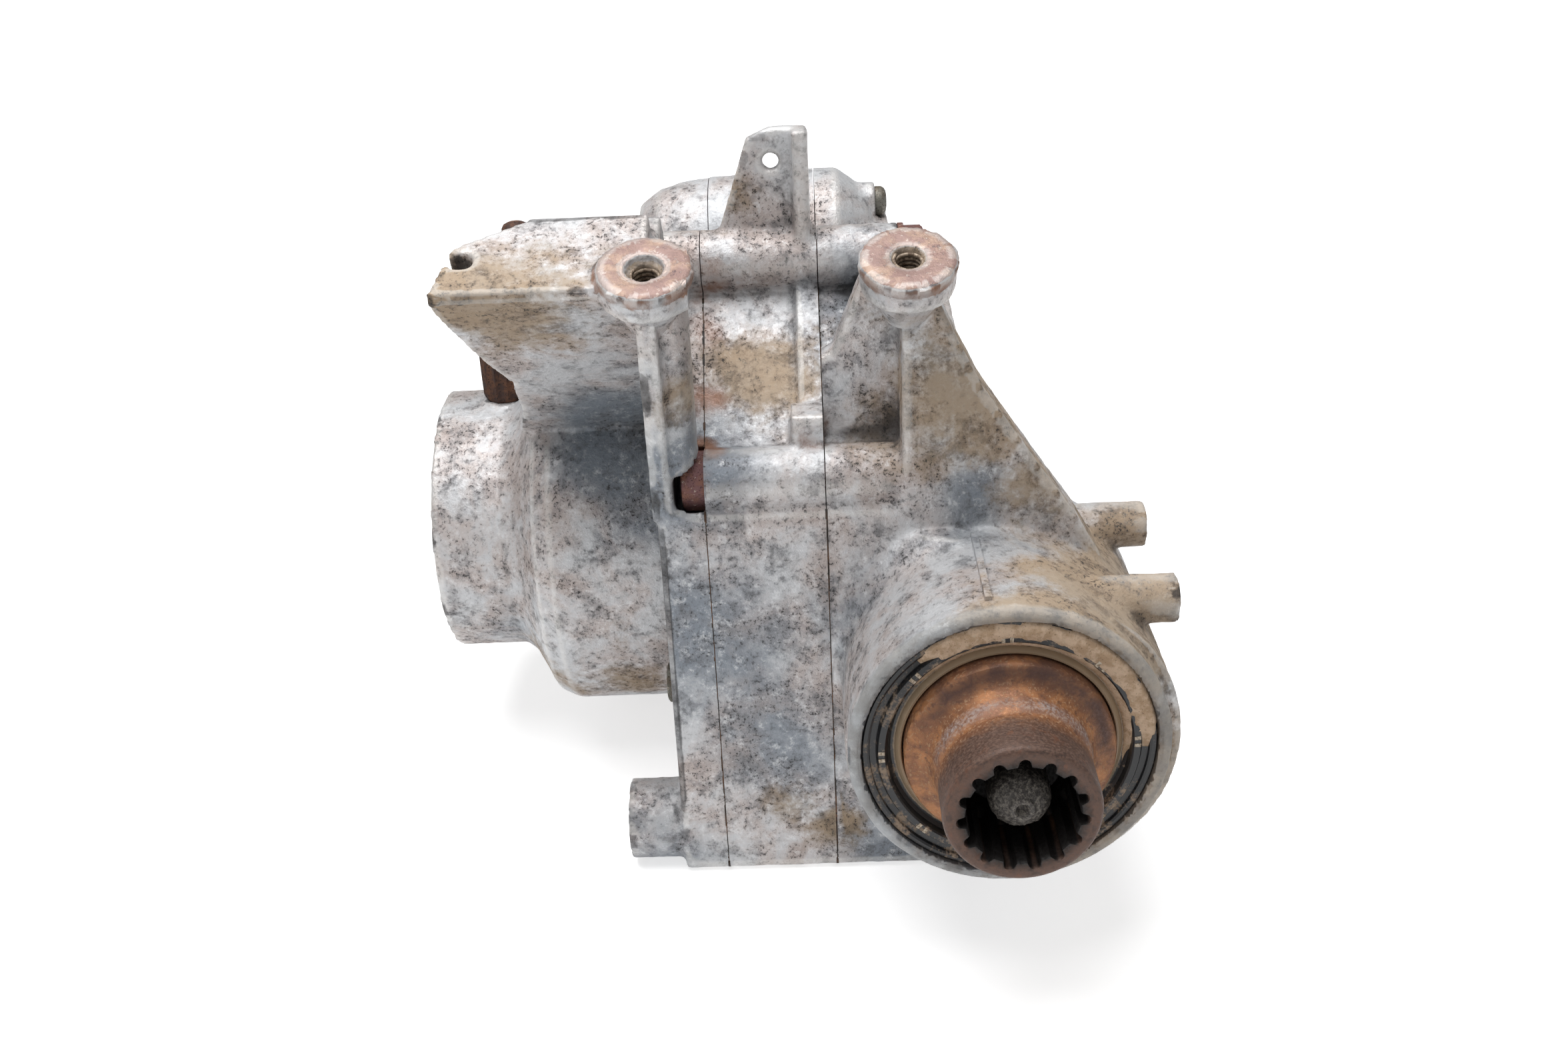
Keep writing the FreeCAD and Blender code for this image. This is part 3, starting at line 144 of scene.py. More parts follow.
class CastingSettings(bpy.types.PropertyGroup):
    grain: length_property("Grain", "Edge length of the castings' mesh", 0.00066)
    pitting: length_property("Pitting", "Depth of the rough cast skin", 0.00009)
    crease: count_property("Fillet passes", "How far the inner corners are filled", 13)
    mottle: amount_property("Mottling", "Strength of the grey mottling", 0.47)
    worn: amount_property("Wear", "Strength of the bright worn edges", 0.3)
    pale: colour_property("Pale", "Clean, dry aluminium", 198, 199, 201)
    slate: colour_property("Slate", "Bare, wet-looking aluminium", 122, 130, 139)
    blush: colour_property("Blush", "Dusty film", 190, 176, 170)
    soil: colour_property("Soil", "Dried soil", 166, 143, 114)
    umber: colour_property("Umber", "Dark soil", 118, 98, 74)
    # This colour paints shade into the castings' hollows and corners as well as grime into the pits and
    # seams.
    grime_and_shade: colour_property("Grime and shade", "Black dirt in corners and pits", 46, 44, 44)
    rust: colour_property("Rust", "Rust run down from the bolts", 140, 98, 72)
    pad_rust: colour_property("Pad rust", "Rust left by the bracket", 150, 122, 114)


class InputSettings(bpy.types.PropertyGroup):
    keys: count_property("Keys", "Slots in the coupler's mouth", 15, 6)
    outer: length_property("Outer radius", "Radius of the coupler", 0.018)
    key_tip: length_property("Tooth radius", "Radius over the coupler's teeth", 0.01275)
    key_root: length_property("Slot radius", "Radius to the bottom of the slots", 0.01475)
    nibs: count_property("Nib pairs", "Pairs of nibs round the oil seal", 8)
    steel: colour_property("Steel", "Dark burnished steel of the mouth", 88, 66, 56)
    orange: colour_property("Rust", "Fresh rust of the hub", 166, 114, 74)
    rubber: colour_property("Rubber", "Oil seal", 30, 31, 33)
    mud: colour_property("Mud", "Mud dried on the seal", 216, 190, 164)


class FastenerSettings(bpy.types.PropertyGroup):
    zinc: colour_property("Zinc", "Dull zinc of the small bolts", 118, 116, 108)
    maroon: colour_property("Maroon", "Rusted bolt heads", 112, 80, 80)
    pitch: length_property("Thread pitch", "Pitch of the threads in the pads", 0.00125)


class StageSettings(bpy.types.PropertyGroup):
    lens: amount_property("Lens", "Focal length for a 36 mm wide frame", 36.903)
    lamp: amount_property("Lamp", "Power of the overhead softbox in watts", 7.0)
    fill: amount_property("Fill", "Power of the front softbox in watts", 0.7)
    sky: amount_property("Sky", "Strength of the room's light", 0.3)


# Node trees.
def add_node(tree, kind, sockets, **settings):
    """A node with its settings, and with each socket set to a value or linked to another node's."""
    node = tree.nodes.new(kind)
    for name, value in settings.items():
        setattr(node, name, value)
    for key, value in sockets.items():
        if isinstance(value, bpy.types.NodeSocket):
            tree.links.new(value, node.inputs[key])
        else:
            node.inputs[key].default_value = value
    return node


# Materials.
class Finish:
    """A material whose patterns read the piece's own coordinates, with short names for its nodes."""

    def __init__(self, name, **fixed):
        self.material = bpy.data.materials.new(name)
        self.material.use_nodes = True
        self.tree = self.material.node_tree
        self.shader = self.tree.nodes["Principled BSDF"]
        for socket, value in fixed.items():
            self.shader.inputs[socket.replace("_", " ")].default_value = value
        self.spot = self.tree.nodes.new("ShaderNodeTexCoord").outputs["Object"]

    def put(self, kind, sockets, **settings):
        return add_node(self.tree, kind, sockets, **settings)

    def grain(self, period, detail=3.0, rough=0.55, warp=0.0, stretch=None):
        """Noise from 0 to 1 with that period in millimetres."""
        spot = self.spot
        if stretch:
            spot = self.put("ShaderNodeMapping", {"Vector": spot, "Scale": stretch}).outputs[0]
        node = self.put("ShaderNodeTexNoise", {
            "Vector": spot, "Scale": 1.0 / (period * MM), "Detail": detail,
            "Roughness": rough, "Distortion": warp})
        return node.outputs["Fac"]

    def step(self, value, low, high, start=0.0, end=1.0):
        node = self.put("ShaderNodeMapRange", {
            "Value": value, "From Min": low, "From Max": high, "To Min": start, "To Max": end},
            interpolation_type="SMOOTHSTEP")
        return node.outputs[0]

    def sum(self, how, first, second, clamp=False):
        return self.put("ShaderNodeMath", {0: first, 1: second}, operation=how, use_clamp=clamp).outputs[0]

    def drift(self, value, noise, amount):
        """The value moved up and down by a noise around 0.5."""
        return self.sum("ADD", value, self.times(self.sum("SUBTRACT", noise, 0.5), amount), True)

    def times(self, first, second):
        return self.sum("MULTIPLY", first, second)

    def mix(self, share, under, over, how="MIX"):
        node = self.put("ShaderNodeMix", {0: share, 6: under, 7: over}, data_type="RGBA", blend_type=how)
        return node.outputs[2]

    def coat(self, under, value, low, high, share, over):
        """The under colour, with up to that share of the over one where the value goes from low to high."""
        return self.mix(self.step(value, low, high, 0.0, share), under, over)

    def mask(self, name):
        return self.put("ShaderNodeAttribute", {}, attribute_name=name).outputs["Fac"]

    def along(self, axis):
        parts = self.put("ShaderNodeSeparateXYZ", {"Vector": self.spot})
        return parts.outputs["XYZ".index(axis)]

    def finish(self, colour=None, roughness=None, height=None, depth=0.1, strength=1.0, metal=None):
        link = self.tree.links.new
        if colour is not None:
            link(colour, self.shader.inputs["Base Color"])
        if roughness is not None:
            link(roughness, self.shader.inputs["Roughness"])
        if metal is not None:
            link(metal, self.shader.inputs["Metallic"])
        if height is not None:
            bump = self.put("ShaderNodeBump", {
                "Height": height, "Distance": depth * MM, "Strength": strength})
            link(bump.outputs[0], self.shader.inputs["Normal"])
        return self.material


MATERIALS = {}


def material(name):
    if name not in MATERIALS:
        MATERIALS[name] = MAKERS[name]()
    return MATERIALS[name]


def cast_finish():
    look = bpy.context.scene.diff_casting
    it = Finish("weathered_casting")
    broad, patch, blotch = it.grain(46, 2), it.grain(19, 5, 0.62, 0.5), it.grain(6.5, 9, 0.7, 0.3)
    mottle, fleck, speck = it.grain(2.6, 7, 0.75), it.grain(1.3, 4, 0.7), it.grain(0.5, 3, 0.65)
    soil, grime_and_shade, edge = it.mask("soil"), it.mask("grime_and_shade"), it.mask("edge")
    slate, rust, pad = it.mask("slate"), it.mask("rust"), it.mask("pad")

    colour = it.mix(it.step(it.drift(patch, blotch, 0.4), 0.36, 0.68), tuple(look.pale), tuple(look.blush))
    cool = it.sum("ADD", slate, it.times(it.sum("SUBTRACT", broad, 0.5), 1.0), True)
    colour = it.coat(colour, it.drift(cool, blotch, 0.8), 0.15, 0.75, 0.92, tuple(look.slate))
    colour = it.coat(colour, patch, 0.5, 0.72, 0.5, tone(140, 134, 131))
    colour = it.coat(colour, blotch, 0.48, 0.62, look.mottle, tone(126, 127, 130))
    colour = it.coat(colour, it.drift(mottle, blotch, 0.5), 0.52, 0.66, look.mottle, tone(88, 89, 92))
    colour = it.coat(colour, mottle, 0.47, 0.33, 0.45, tone(224, 225, 226))

    dusty = it.drift(it.drift(soil, patch, 0.9), mottle, 0.7)
    dust = it.times(it.step(dusty, 0.25, 0.7), it.step(soil, 0.02, 0.25, 0.0, 0.9))
    earth = it.coat(tuple(look.soil), it.drift(blotch, fleck, 0.5), 0.44, 0.64, 0.9, tuple(look.umber))
    earth = it.coat(earth, mottle, 0.53, 0.68, 0.6, tone(198, 182, 160))
    colour = it.mix(it.times(dust, 0.9), colour, earth)

    # Painted shade in the hollows and corners, with the grime of the seams, mouth and pads, darkens towards
    # the grime colour.
    corner = it.drift(grime_and_shade, blotch, 0.9)
    colour = it.mix(it.times(it.step(corner, 0.3, 0.95), 0.8), colour, tuple(look.grime_and_shade))
    clustered = it.step(it.drift(patch, blotch, 0.7), 0.42, 0.64, 0.1, 0.85)
    pits = it.times(it.step(it.drift(fleck, speck, 0.6), 0.57, 0.64), clustered)
    colour = it.mix(pits, colour, tuple(look.grime_and_shade))

    stain = it.drift(rust, blotch, 0.8)
    colour = it.mix(it.times(it.step(stain, 0.3, 0.85), 0.85), colour, tuple(look.rust))
    plate = it.mix(it.step(blotch, 0.46, 0.64), tuple(look.pad_rust), tone(178, 150, 132))
    plate = it.coat(plate, mottle, 0.55, 0.66, 0.8, tone(96, 80, 86))
    plate = it.coat(plate, fleck, 0.58, 0.7, 0.7, tone(222, 206, 194))
    colour = it.coat(colour, it.drift(pad, mottle, 0.5), 0.4, 0.6, 0.94, plate)
    worn = it.times(it.step(it.drift(edge, mottle, 0.9), 0.5, 0.95), look.worn)
    colour = it.mix(worn, colour, tone(230, 228, 224))

    rough = it.step(mottle, 0.3, 0.7, 0.42, 0.66)
    rough = it.sum("ADD", rough, it.times(dust, 0.25), True)
    rough = it.sum("SUBTRACT", rough, it.times(worn, 0.15), True)
    metal = it.sum("SUBTRACT", 0.5, it.times(it.sum("ADD", dust, corner, True), 0.5), True)
    height = it.sum("ADD", it.times(speck, 0.6), it.times(fleck, 1.0))
    height = it.sum("ADD", height, it.times(mottle, 1.6))
    height = it.sum("SUBTRACT", height, it.times(pits, 0.8))
    return it.finish(colour, rough, height, 0.22, 0.6, metal)


def gasket_finish():
    it = Finish("oiled_gasket", Roughness=0.75)
    colour = it.mix(it.step(it.grain(6, 3), 0.4, 0.65), tone(44, 38, 34), tone(96, 66, 44))
    colour = it.coat(colour, it.grain(0.8, 2), 0.5, 0.7, 1.0, tone(26, 24, 22))
    return it.finish(colour, it.step(it.grain(2, 2), 0.3, 0.7, 0.6, 0.9), it.grain(0.5, 2), 0.05, 0.5)


def rubber_finish():
    look = bpy.context.scene.diff_input
    it = Finish("seal_rubber", Specular_IOR_Level=0.45)
    film = it.sum("ADD", it.times(it.grain(7, 4, 0.6), 0.7), it.times(it.grain(0.7, 2), 0.3))
    dust = it.step(film, 0.52, 0.66)
    colour = it.mix(it.times(dust, 0.45), tuple(look.rubber), tuple(look.mud))
    lip = it.step(it.drift(it.mask("dusty"), it.grain(1.2, 4), 0.8), 0.3, 0.8, 0.0, 0.9)
    colour = it.mix(lip, colour, tone(166, 144, 118))
    return it.finish(colour, it.step(dust, 0.0, 1.0, 0.32, 0.8), it.grain(0.35, 2), 0.03, 0.35)


def mud_finish():
    look = bpy.context.scene.diff_input
    it = Finish("dried_mud", Specular_IOR_Level=0.2)
    clod, crumb = it.grain(2.6, 4, 0.65), it.grain(0.5, 3, 0.6)
    colour = it.mix(it.step(clod, 0.38, 0.62), tuple(look.mud), tone(186, 158, 130))
    colour = it.coat(colour, crumb, 0.57, 0.74, 0.7, tone(104, 86, 66))
    colour = it.coat(colour, it.grain(0.9, 2), 0.62, 0.74, 1.0, tone(204, 184, 158))
    height = it.sum("ADD", clod, it.times(crumb, 0.6))
    return it.finish(colour, it.step(crumb, 0.3, 0.7, 0.85, 1.0), height, 0.3, 0.8)


def coupler_finish():
    look = bpy.context.scene.diff_input
    it = Finish("rusted_coupler", Metallic=0.35)
    blotch, fleck = it.grain(4.5, 4, 0.6, 0.4), it.grain(0.7, 3, 0.65)
    lathe = it.grain(1.6, 2, 0.5, 0.0, (1.0, 6.0, 1.0))
    depth = it.sum("MULTIPLY_ADD", it.along("Y"), 1000.0)
    depth.node.inputs[2].default_value = 152.0
    back = it.step(it.sum("ADD", depth, it.times(it.sum("SUBTRACT", blotch, 0.5), 13.0)), -2.5, 5.5)
    steel = it.mix(it.step(fleck, 0.4, 0.68), tuple(look.steel), tone(112, 88, 76))
    steel = it.coat(steel, lathe, 0.48, 0.68, 0.5, tone(52, 44, 42))
    steel = it.coat(steel, blotch, 0.56, 0.72, 0.6, tone(118, 78, 58))
    warm = it.mix(it.step(blotch, 0.36, 0.6), tuple(look.orange), tone(128, 86, 60))
    warm = it.coat(warm, fleck, 0.52, 0.68, 0.6, tone(188, 156, 124))
    warm = it.coat(warm, it.grain(1.6, 3), 0.56, 0.7, 0.7, tone(96, 66, 52))
    colour = it.mix(back, steel, warm)
    # Painted shadow: the crescent on the hub's disc darkens to brown.
    hub_shadow = it.times(it.mask("hub_shadow"), it.step(blotch, 0.3, 0.6, 0.75, 1.0))
    # Worn bands with a painted highlight, lighter only on the top of the neck.
    wear_and_highlight = it.times(it.mask("wear_and_highlight"), it.step(fleck, 0.35, 0.6, 0.2, 1.0))
    colour = it.mix(hub_shadow, colour, tone(80, 58, 52))
    colour = it.mix(wear_and_highlight, colour, tone(168, 158, 156))
    # Painted shade: inside the bore and its slots the colour is nearly black.
    colour = it.mix(it.mask("bore"), colour, tone(26, 23, 22))
    rough = it.step(fleck, 0.3, 0.7, 0.42, 0.75)
    height = it.sum("ADD", it.times(fleck, 0.8), it.times(lathe, 0.5))
    return it.finish(colour, rough, height, 0.12, 0.6)


def shaft_finish():
    it = Finish("pitted_shaft", Metallic=0.4)
    fleck = it.grain(0.9, 4, 0.7)
    colour = it.mix(it.step(fleck, 0.42, 0.66), tone(64, 60, 57), tone(132, 126, 118))
    colour = it.coat(colour, it.grain(0.4, 2), 0.56, 0.72, 1.0, tone(44, 40, 38))
    return it.finish(colour, it.step(fleck, 0.3, 0.7, 0.4, 0.75), fleck, 0.25, 0.9)


def bolt_finish(name, base, stain, dark, amount):
    it = Finish(name, Metallic=0.5)
    blotch, fleck = it.grain(3.0, 4, 0.6), it.grain(0.5, 3, 0.6)
    colour = it.mix(it.step(blotch, 0.4, 0.66, 0.0, amount), base, stain)
    colour = it.coat(colour, fleck, 0.54, 0.7, 0.8, dark)
    colour = it.coat(colour, it.grain(1.1, 2), 0.62, 0.74, 0.6, tone(196, 180, 166))
    return it.finish(colour, it.step(fleck, 0.3, 0.7, 0.42, 0.8), fleck, 0.1, 0.6)


def zinc_finish():
    look = bpy.context.scene.diff_fasteners
    return bolt_finish("dull_zinc", tuple(look.zinc), tone(96, 82, 66), tone(44, 40, 38), 0.8)


def maroon_finish():
    look = bpy.context.scene.diff_fasteners
    return bolt_finish("rusted_bolt", tuple(look.maroon), tone(128, 88, 70), tone(58, 44, 44), 0.8)


def ground_finish():
    it = Finish("ground_steel", Metallic=0.95)
    haze = it.grain(9, 3)
    line = it.grain(0.4, 2, 0.5, 0.0, (0.15, 1.0, 1.0))
    colour = it.mix(it.step(haze, 0.35, 0.7), tone(178, 180, 184), tone(150, 146, 138))
    return it.finish(colour, it.step(line, 0.3, 0.7, 0.2, 0.36), line, 0.01, 0.3)


def oiled_finish():
    it = Finish("oiled_gear_steel", Metallic=0.9, Coat_Weight=0.35, Coat_Roughness=0.1)
    haze, fleck = it.grain(7, 4), it.grain(0.6, 2)
    colour = it.mix(it.step(haze, 0.35, 0.65), tone(128, 126, 124), tone(96, 88, 76))
    colour = it.coat(colour, fleck, 0.58, 0.7, 0.5, tone(60, 56, 52))
    return it.finish(colour, it.step(haze, 0.3, 0.7, 0.24, 0.44), fleck, 0.02, 0.3)


def dark_core_finish():
    it = Finish("old_brown_rubber", Specular_IOR_Level=0.3)
    blotch = it.grain(3, 3)
    colour = it.mix(it.step(blotch, 0.4, 0.64), tone(60, 42, 36), tone(98, 68, 52))
    colour = it.coat(colour, it.grain(0.6, 2), 0.54, 0.7, 1.0, tone(34, 26, 24))
    return it.finish(colour, it.step(blotch, 0.3, 0.7, 0.5, 0.8), it.grain(0.5, 2), 0.08, 0.5)


def nib_finish():
    it = Finish("worn_nibs", Specular_IOR_Level=0.3)
    fleck = it.grain(0.6, 3)
    colour = it.mix(it.step(fleck, 0.4, 0.66), tone(206, 194, 176), tone(140, 122, 102))
    return it.finish(colour, it.step(fleck, 0.3, 0.7, 0.6, 0.9), fleck, 0.05, 0.5)


def thread_finish():
    it = Finish("dusty_thread", Metallic=0.3)
    fleck = it.grain(0.8, 3)
    colour = it.mix(it.step(fleck, 0.4, 0.64), tone(168, 152, 134), tone(112, 96, 82))
    return it.finish(colour, it.step(fleck, 0.3, 0.7, 0.5, 0.8), fleck, 0.06, 0.5)


MAKERS = {
    "nib": nib_finish, "thread_steel": thread_finish,
    "casting": cast_finish, "gasket_paper": gasket_finish, "seal_rubber": rubber_finish,
    "mud": mud_finish, "coupler": coupler_finish, "shaft": shaft_finish,
    "fastener_steel": zinc_finish, "rusted_bolt": maroon_finish,
    "bearing_steel": ground_finish, "gear_steel": oiled_finish, "core": dark_core_finish,
}


# Meshes.
def linked(name, data):
    """A new object in the scene."""
    item = bpy.data.objects.new(name, data)
    bpy.context.scene.collection.objects.link(item)
    return item


def piece(name, mesh, finish, body, replaced=(), masks=None, sharp=40.0):
    """Links a finished mesh as a piece of the object."""
    mesh.materials.clear()
    mesh.materials.append(material(finish))
    for mask, values in (masks or {}).items():
        layer = mesh.attributes.new(mask, "FLOAT", "POINT")
        layer.data.foreach_set("value", np.asarray(values, np.float32))
    mesh.polygons.foreach_set("use_smooth", np.ones(len(mesh.polygons), bool))
    if sharp:
        mesh.set_sharp_from_angle(angle=math.radians(sharp))
    item = linked(name, mesh)
    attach(item, body)
    if replaced:
        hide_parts(*replaced)
    return item


def mesh_of(name, points, faces):
    """A mesh from points in millimetres, with its normals turned outwards."""
    mesh = bpy.data.meshes.new(name)
    mesh.from_pydata([tuple(p * MM) for p in np.asarray(points, float)], [], faces)
    shape = bmesh.new()
    shape.from_mesh(mesh)
    bmesh.ops.remove_doubles(shape, verts=shape.verts, dist=1e-7)
    bmesh.ops.recalc_face_normals(shape, faces=shape.faces)
    shape.to_mesh(mesh)
    shape.free()
    return mesh


AXES = {
    "X": (np.array([1.0, 0, 0]), np.array([0, 1.0, 0]), np.array([0, 0, 1.0])),
    "Y": (np.array([0, 1.0, 0]), np.array([0, 0, 1.0]), np.array([1.0, 0, 0])),
    "Z": (np.array([0, 0, 1.0]), np.array([1.0, 0, 0]), np.array([0, 1.0, 0])),
}


def turned(axis, stations, centre=(0, 0, 0), steps=96):
    """Points and faces of a turned piece. A station is (along, radius or function of the angle);
    the last one joins the first, or both ends close on the axis where their radius is 0."""
    line, across, up = AXES[axis]
    angles = np.linspace(0, 2 * math.pi, steps, endpoint=False)
    open_ends = not callable(stations[0][1]) and stations[0][1] == 0
    rows = []
    for along, radius in stations:
        reach = radius(angles) if callable(radius) else np.full(steps, float(radius))
        ring = np.outer(reach * np.cos(angles), across) + np.outer(reach * np.sin(angles), up)
        shift = along(angles) if callable(along) else np.full(steps, float(along))
        rows.append(ring + np.outer(shift, line) + np.array(centre, float))
    faces = []
    total = len(rows)
    for row in range(total if not open_ends else total - 1):
        after = (row + 1) % total
        for i in range(steps):
            j = (i + 1) % steps
            faces.append((row * steps + i, row * steps + j, after * steps + j, after * steps + i))
    return np.concatenate(rows), faces


def merged(node):
    """A bmesh of a CAD node with its loose triangles joined."""
    shape = bmesh.new()
    shape.from_mesh(frame["nodes"][node].data)
    bmesh.ops.remove_doubles(shape, verts=shape.verts, dist=2e-6)
    return shape


def cut(shape, place, direction):
    """Cuts off what lies past a plane and gives the open rim."""
    everything_in = shape.verts[:] + shape.edges[:] + shape.faces[:]
    bmesh.ops.bisect_plane(shape, geom=everything_in, dist=1e-8, plane_co=place, plane_no=direction,
                           clear_outer=True)
    return [edge for edge in shape.edges if edge.is_boundary]


def joined(mesh, others):
    """Adds other meshes to a mesh."""
    shape = bmesh.new()
    for part in (mesh, *others):
        shape.from_mesh(part)
    shape.to_mesh(mesh)
    shape.free()


def evaluated(item):
    """The mesh that the object's modifiers make. The object itself goes."""
    result = bpy.data.meshes.new_from_object(item.evaluated_get(bpy.context.evaluated_depsgraph_get()))
    item.modifiers.clear()
    bpy.data.objects.remove(item)
    return result


def through(mesh, kind, **settings):
    """The mesh after one modifier."""
    item = linked("work", mesh)
    step = item.modifiers.new("step", kind)
    for name, value in settings.items():
        setattr(step, name, value)
    return evaluated(item)


def lattice(points, period, seed):
    """Smooth value noise from -1 to 1 at points in millimetres."""
    cell = points / period + seed * 17.31
    corner = np.floor(cell).astype(np.int64)
    part = cell - corner
    part = part * part * (3 - 2 * part)
    total = np.zeros(len(points))
    for step in itertools.product((0, 1), repeat=3):
        mixed = np.zeros(len(points), np.int64)
        share = np.ones(len(points))
        for k in range(3):
            mixed ^= (corner[:, k] + step[k]) * HASH[k]
            share *= np.abs(1 - step[k] - part[:, k])
        mixed = (mixed ^ (mixed >> 13)) * 1274126177 & 0x7FFFFFFF
        total += ((mixed >> 7) % 10007 / 5003.0 - 1.0) * share
    return total


class Skin:
    """The points of a dense mesh, in millimetres, with its neighbours and normals."""

    def __init__(self, mesh):
        self.mesh = mesh
        self.points = np.empty(len(mesh.vertices) * 3)
        mesh.vertices.foreach_get("co", self.points)
        self.points = self.points.reshape(-1, 3) / MM
        pairs = np.empty(len(mesh.edges) * 2, np.int32)
        mesh.edges.foreach_get("vertices", pairs)
        pairs = pairs.reshape(-1, 2)
        self.first = np.concatenate([pairs[:, 0], pairs[:, 1]])
        self.second = np.concatenate([pairs[:, 1], pairs[:, 0]])
        self.count = np.maximum(np.bincount(self.first, minlength=len(self.points)), 1)

    def mean(self, values):
        if values.ndim == 1:
            return np.bincount(self.first, values[self.second], len(self.points)) / self.count
        return np.stack([self.mean(values[:, k]) for k in range(values.shape[1])], axis=1)

    def write(self):
        self.mesh.vertices.foreach_set("co", (self.points * MM).ravel())
        self.mesh.update()

    def normals(self):
        self.write()
        found = np.empty(len(self.points) * 3)
        self.mesh.vertices.foreach_get("normal", found)
        return found.reshape(-1, 3)

    def fill(self, passes, hollow, round_off):
        """Fills inner corners by the share hollow and rounds outer ones by the share round_off."""
        for i in range(passes):
            if i % 6 == 0:
                normals = self.normals()
            move = self.mean(self.points) - self.points
            lift = (move * normals).sum(axis=1)
            self.points += move * (np.where(lift > 0, hollow, round_off) * 0.6)[:, None]


def rays():
    """Directions spread evenly over a sphere."""
    found = []
    for i in range(RAY_COUNT):
        z = 1 - (2 * i + 1) / RAY_COUNT
        turn = i * 2.399963
        flat = math.sqrt(1 - z * z)
        found.append(Vector((flat * math.cos(turn), flat * math.sin(turn), z)))
    return found


def everything():
    """A search tree of all the shown CAD nodes."""
    points, faces = [], []
    for node, item in frame["nodes"].items():
        if "bearing" in node or "gear" in node:
            continue
        start = len(points)
        points += [v.co.copy() for v in item.data.vertices]
        faces += [tuple(start + v for v in face.vertices) for face in item.data.polygons]
    return BVHTree.FromPolygons(points, faces)


def shelter(tree, mesh, near=16.0):
    """How shut in the points of a coarse mesh are: nearby, and on all sides up to the open air."""
    directions = rays()
    close, shut = [], []
    for vertex in mesh.vertices:
        start = vertex.co + vertex.normal * 0.0008
        seen = hits = blocked = 0
        for direction in directions:
            if direction.dot(vertex.normal) < 0.12:
                continue
            seen += 1
            reach = tree.ray_cast(start, direction, 0.4)[3]
            if reach is not None:
                blocked += 1
                hits += reach < near * MM
        close.append(hits / max(seen, 1))
        shut.append(blocked / max(seen, 1))
    return np.array(close), np.array(shut)


def nearest(known, wanted):
    """For each wanted point, the number of the nearest known one."""
    tree = KDTree(len(known))
    for i, p in enumerate(known):
        tree.insert(p, i)
    tree.balance()
    return np.array([tree.find(p)[1] for p in wanted])


def blob(points, spots):
    """Soft patches: each spot is (x, y, z, radius, strength)."""
    total = np.zeros(len(points))
    for x, y, z, radius, strength in spots:
        gap = ((points - np.array([x, y, z])) ** 2).sum(axis=1) / radius ** 2
        total = np.maximum(total, strength * np.exp(-gap * 0.9))
    return total


# Patches of the castings, as x, y, z, radius and strength.
SOIL = [
    (26, -118, 24, 24, 1.0), (34, -135, -12, 22, 0.95), (22, -133, -34, 18, 0.7), (40, -90, 26, 22, 0.95),
    (6, -137, 36, 16, 0.8), (-55, -66, 68, 15, 0.8), (-52, -95, -44, 10, 0.6), (-42, -95, -52, 8, 0.8),
    (-112, -96, 90, 22, 0.8), (-124, -98, 100, 16, 0.85), (-98, -95, 66, 16, 0.5), (-76, -92, 76, 8, 0.7),
    (-100, -48, -36, 15, 0.6), (-8, -96, 74, 24, 0.75), (-28, -90, 92, 12, 0.6), (-64, -46, 112, 9, 0.5),
    (-30, -75, 62, 12, 0.5), (12, -96, 52, 16, 0.7), (14, -97, 78, 16, 0.9), (25, -95, 56, 16, 0.9),
    (-124, -42, -30, 18, 0.6), (-100, -50, -8, 12, 0.5), (-140, -60, 80, 14, 0.5), (-60, -60, -66, 20, 0.4),
    (10, 20, 0, 45, 0.45), (-50, 68, -20, 40, 0.5), (-110, 30, 0, 40, 0.35), (-20, 60, -40, 30, 0.6),
]
SLATE = [
    (-76, -95, 10, 26, 0.85), (-60, -95, -25, 22, 0.6), (-76, -92, 52, 16, 0.9), (-28, -95, 15, 20, 0.75),
    (-96, -52, 42, 24, 1.0), (-84, -56, 30, 18, 0.9), (-130, -30, -20, 24, 0.5), (-12, -137, -20, 26, 0.6),
    (-30, -60, 80, 20, 0.7), (-86, -84, -60, 18, 0.7), (-20, -100, -55, 22, 0.9), (-66, -20, 96, 16, 0.5),
    (-5, -92, 44, 14, 0.7),
]
RUST = [
    (-70, -72, 66, 7, 0.9), (-70, -84, 55, 6, 0.9), (-44, -84, 60, 6, 0.8), (-69, -60, 82, 8, 0.6),
    (-92, -86, 108, 12, 0.35), (-73, -89, 50, 7, 0.8), (-71, -52, 96, 6, 0.8), (-71, -50, 88, 6, 0.75),
]


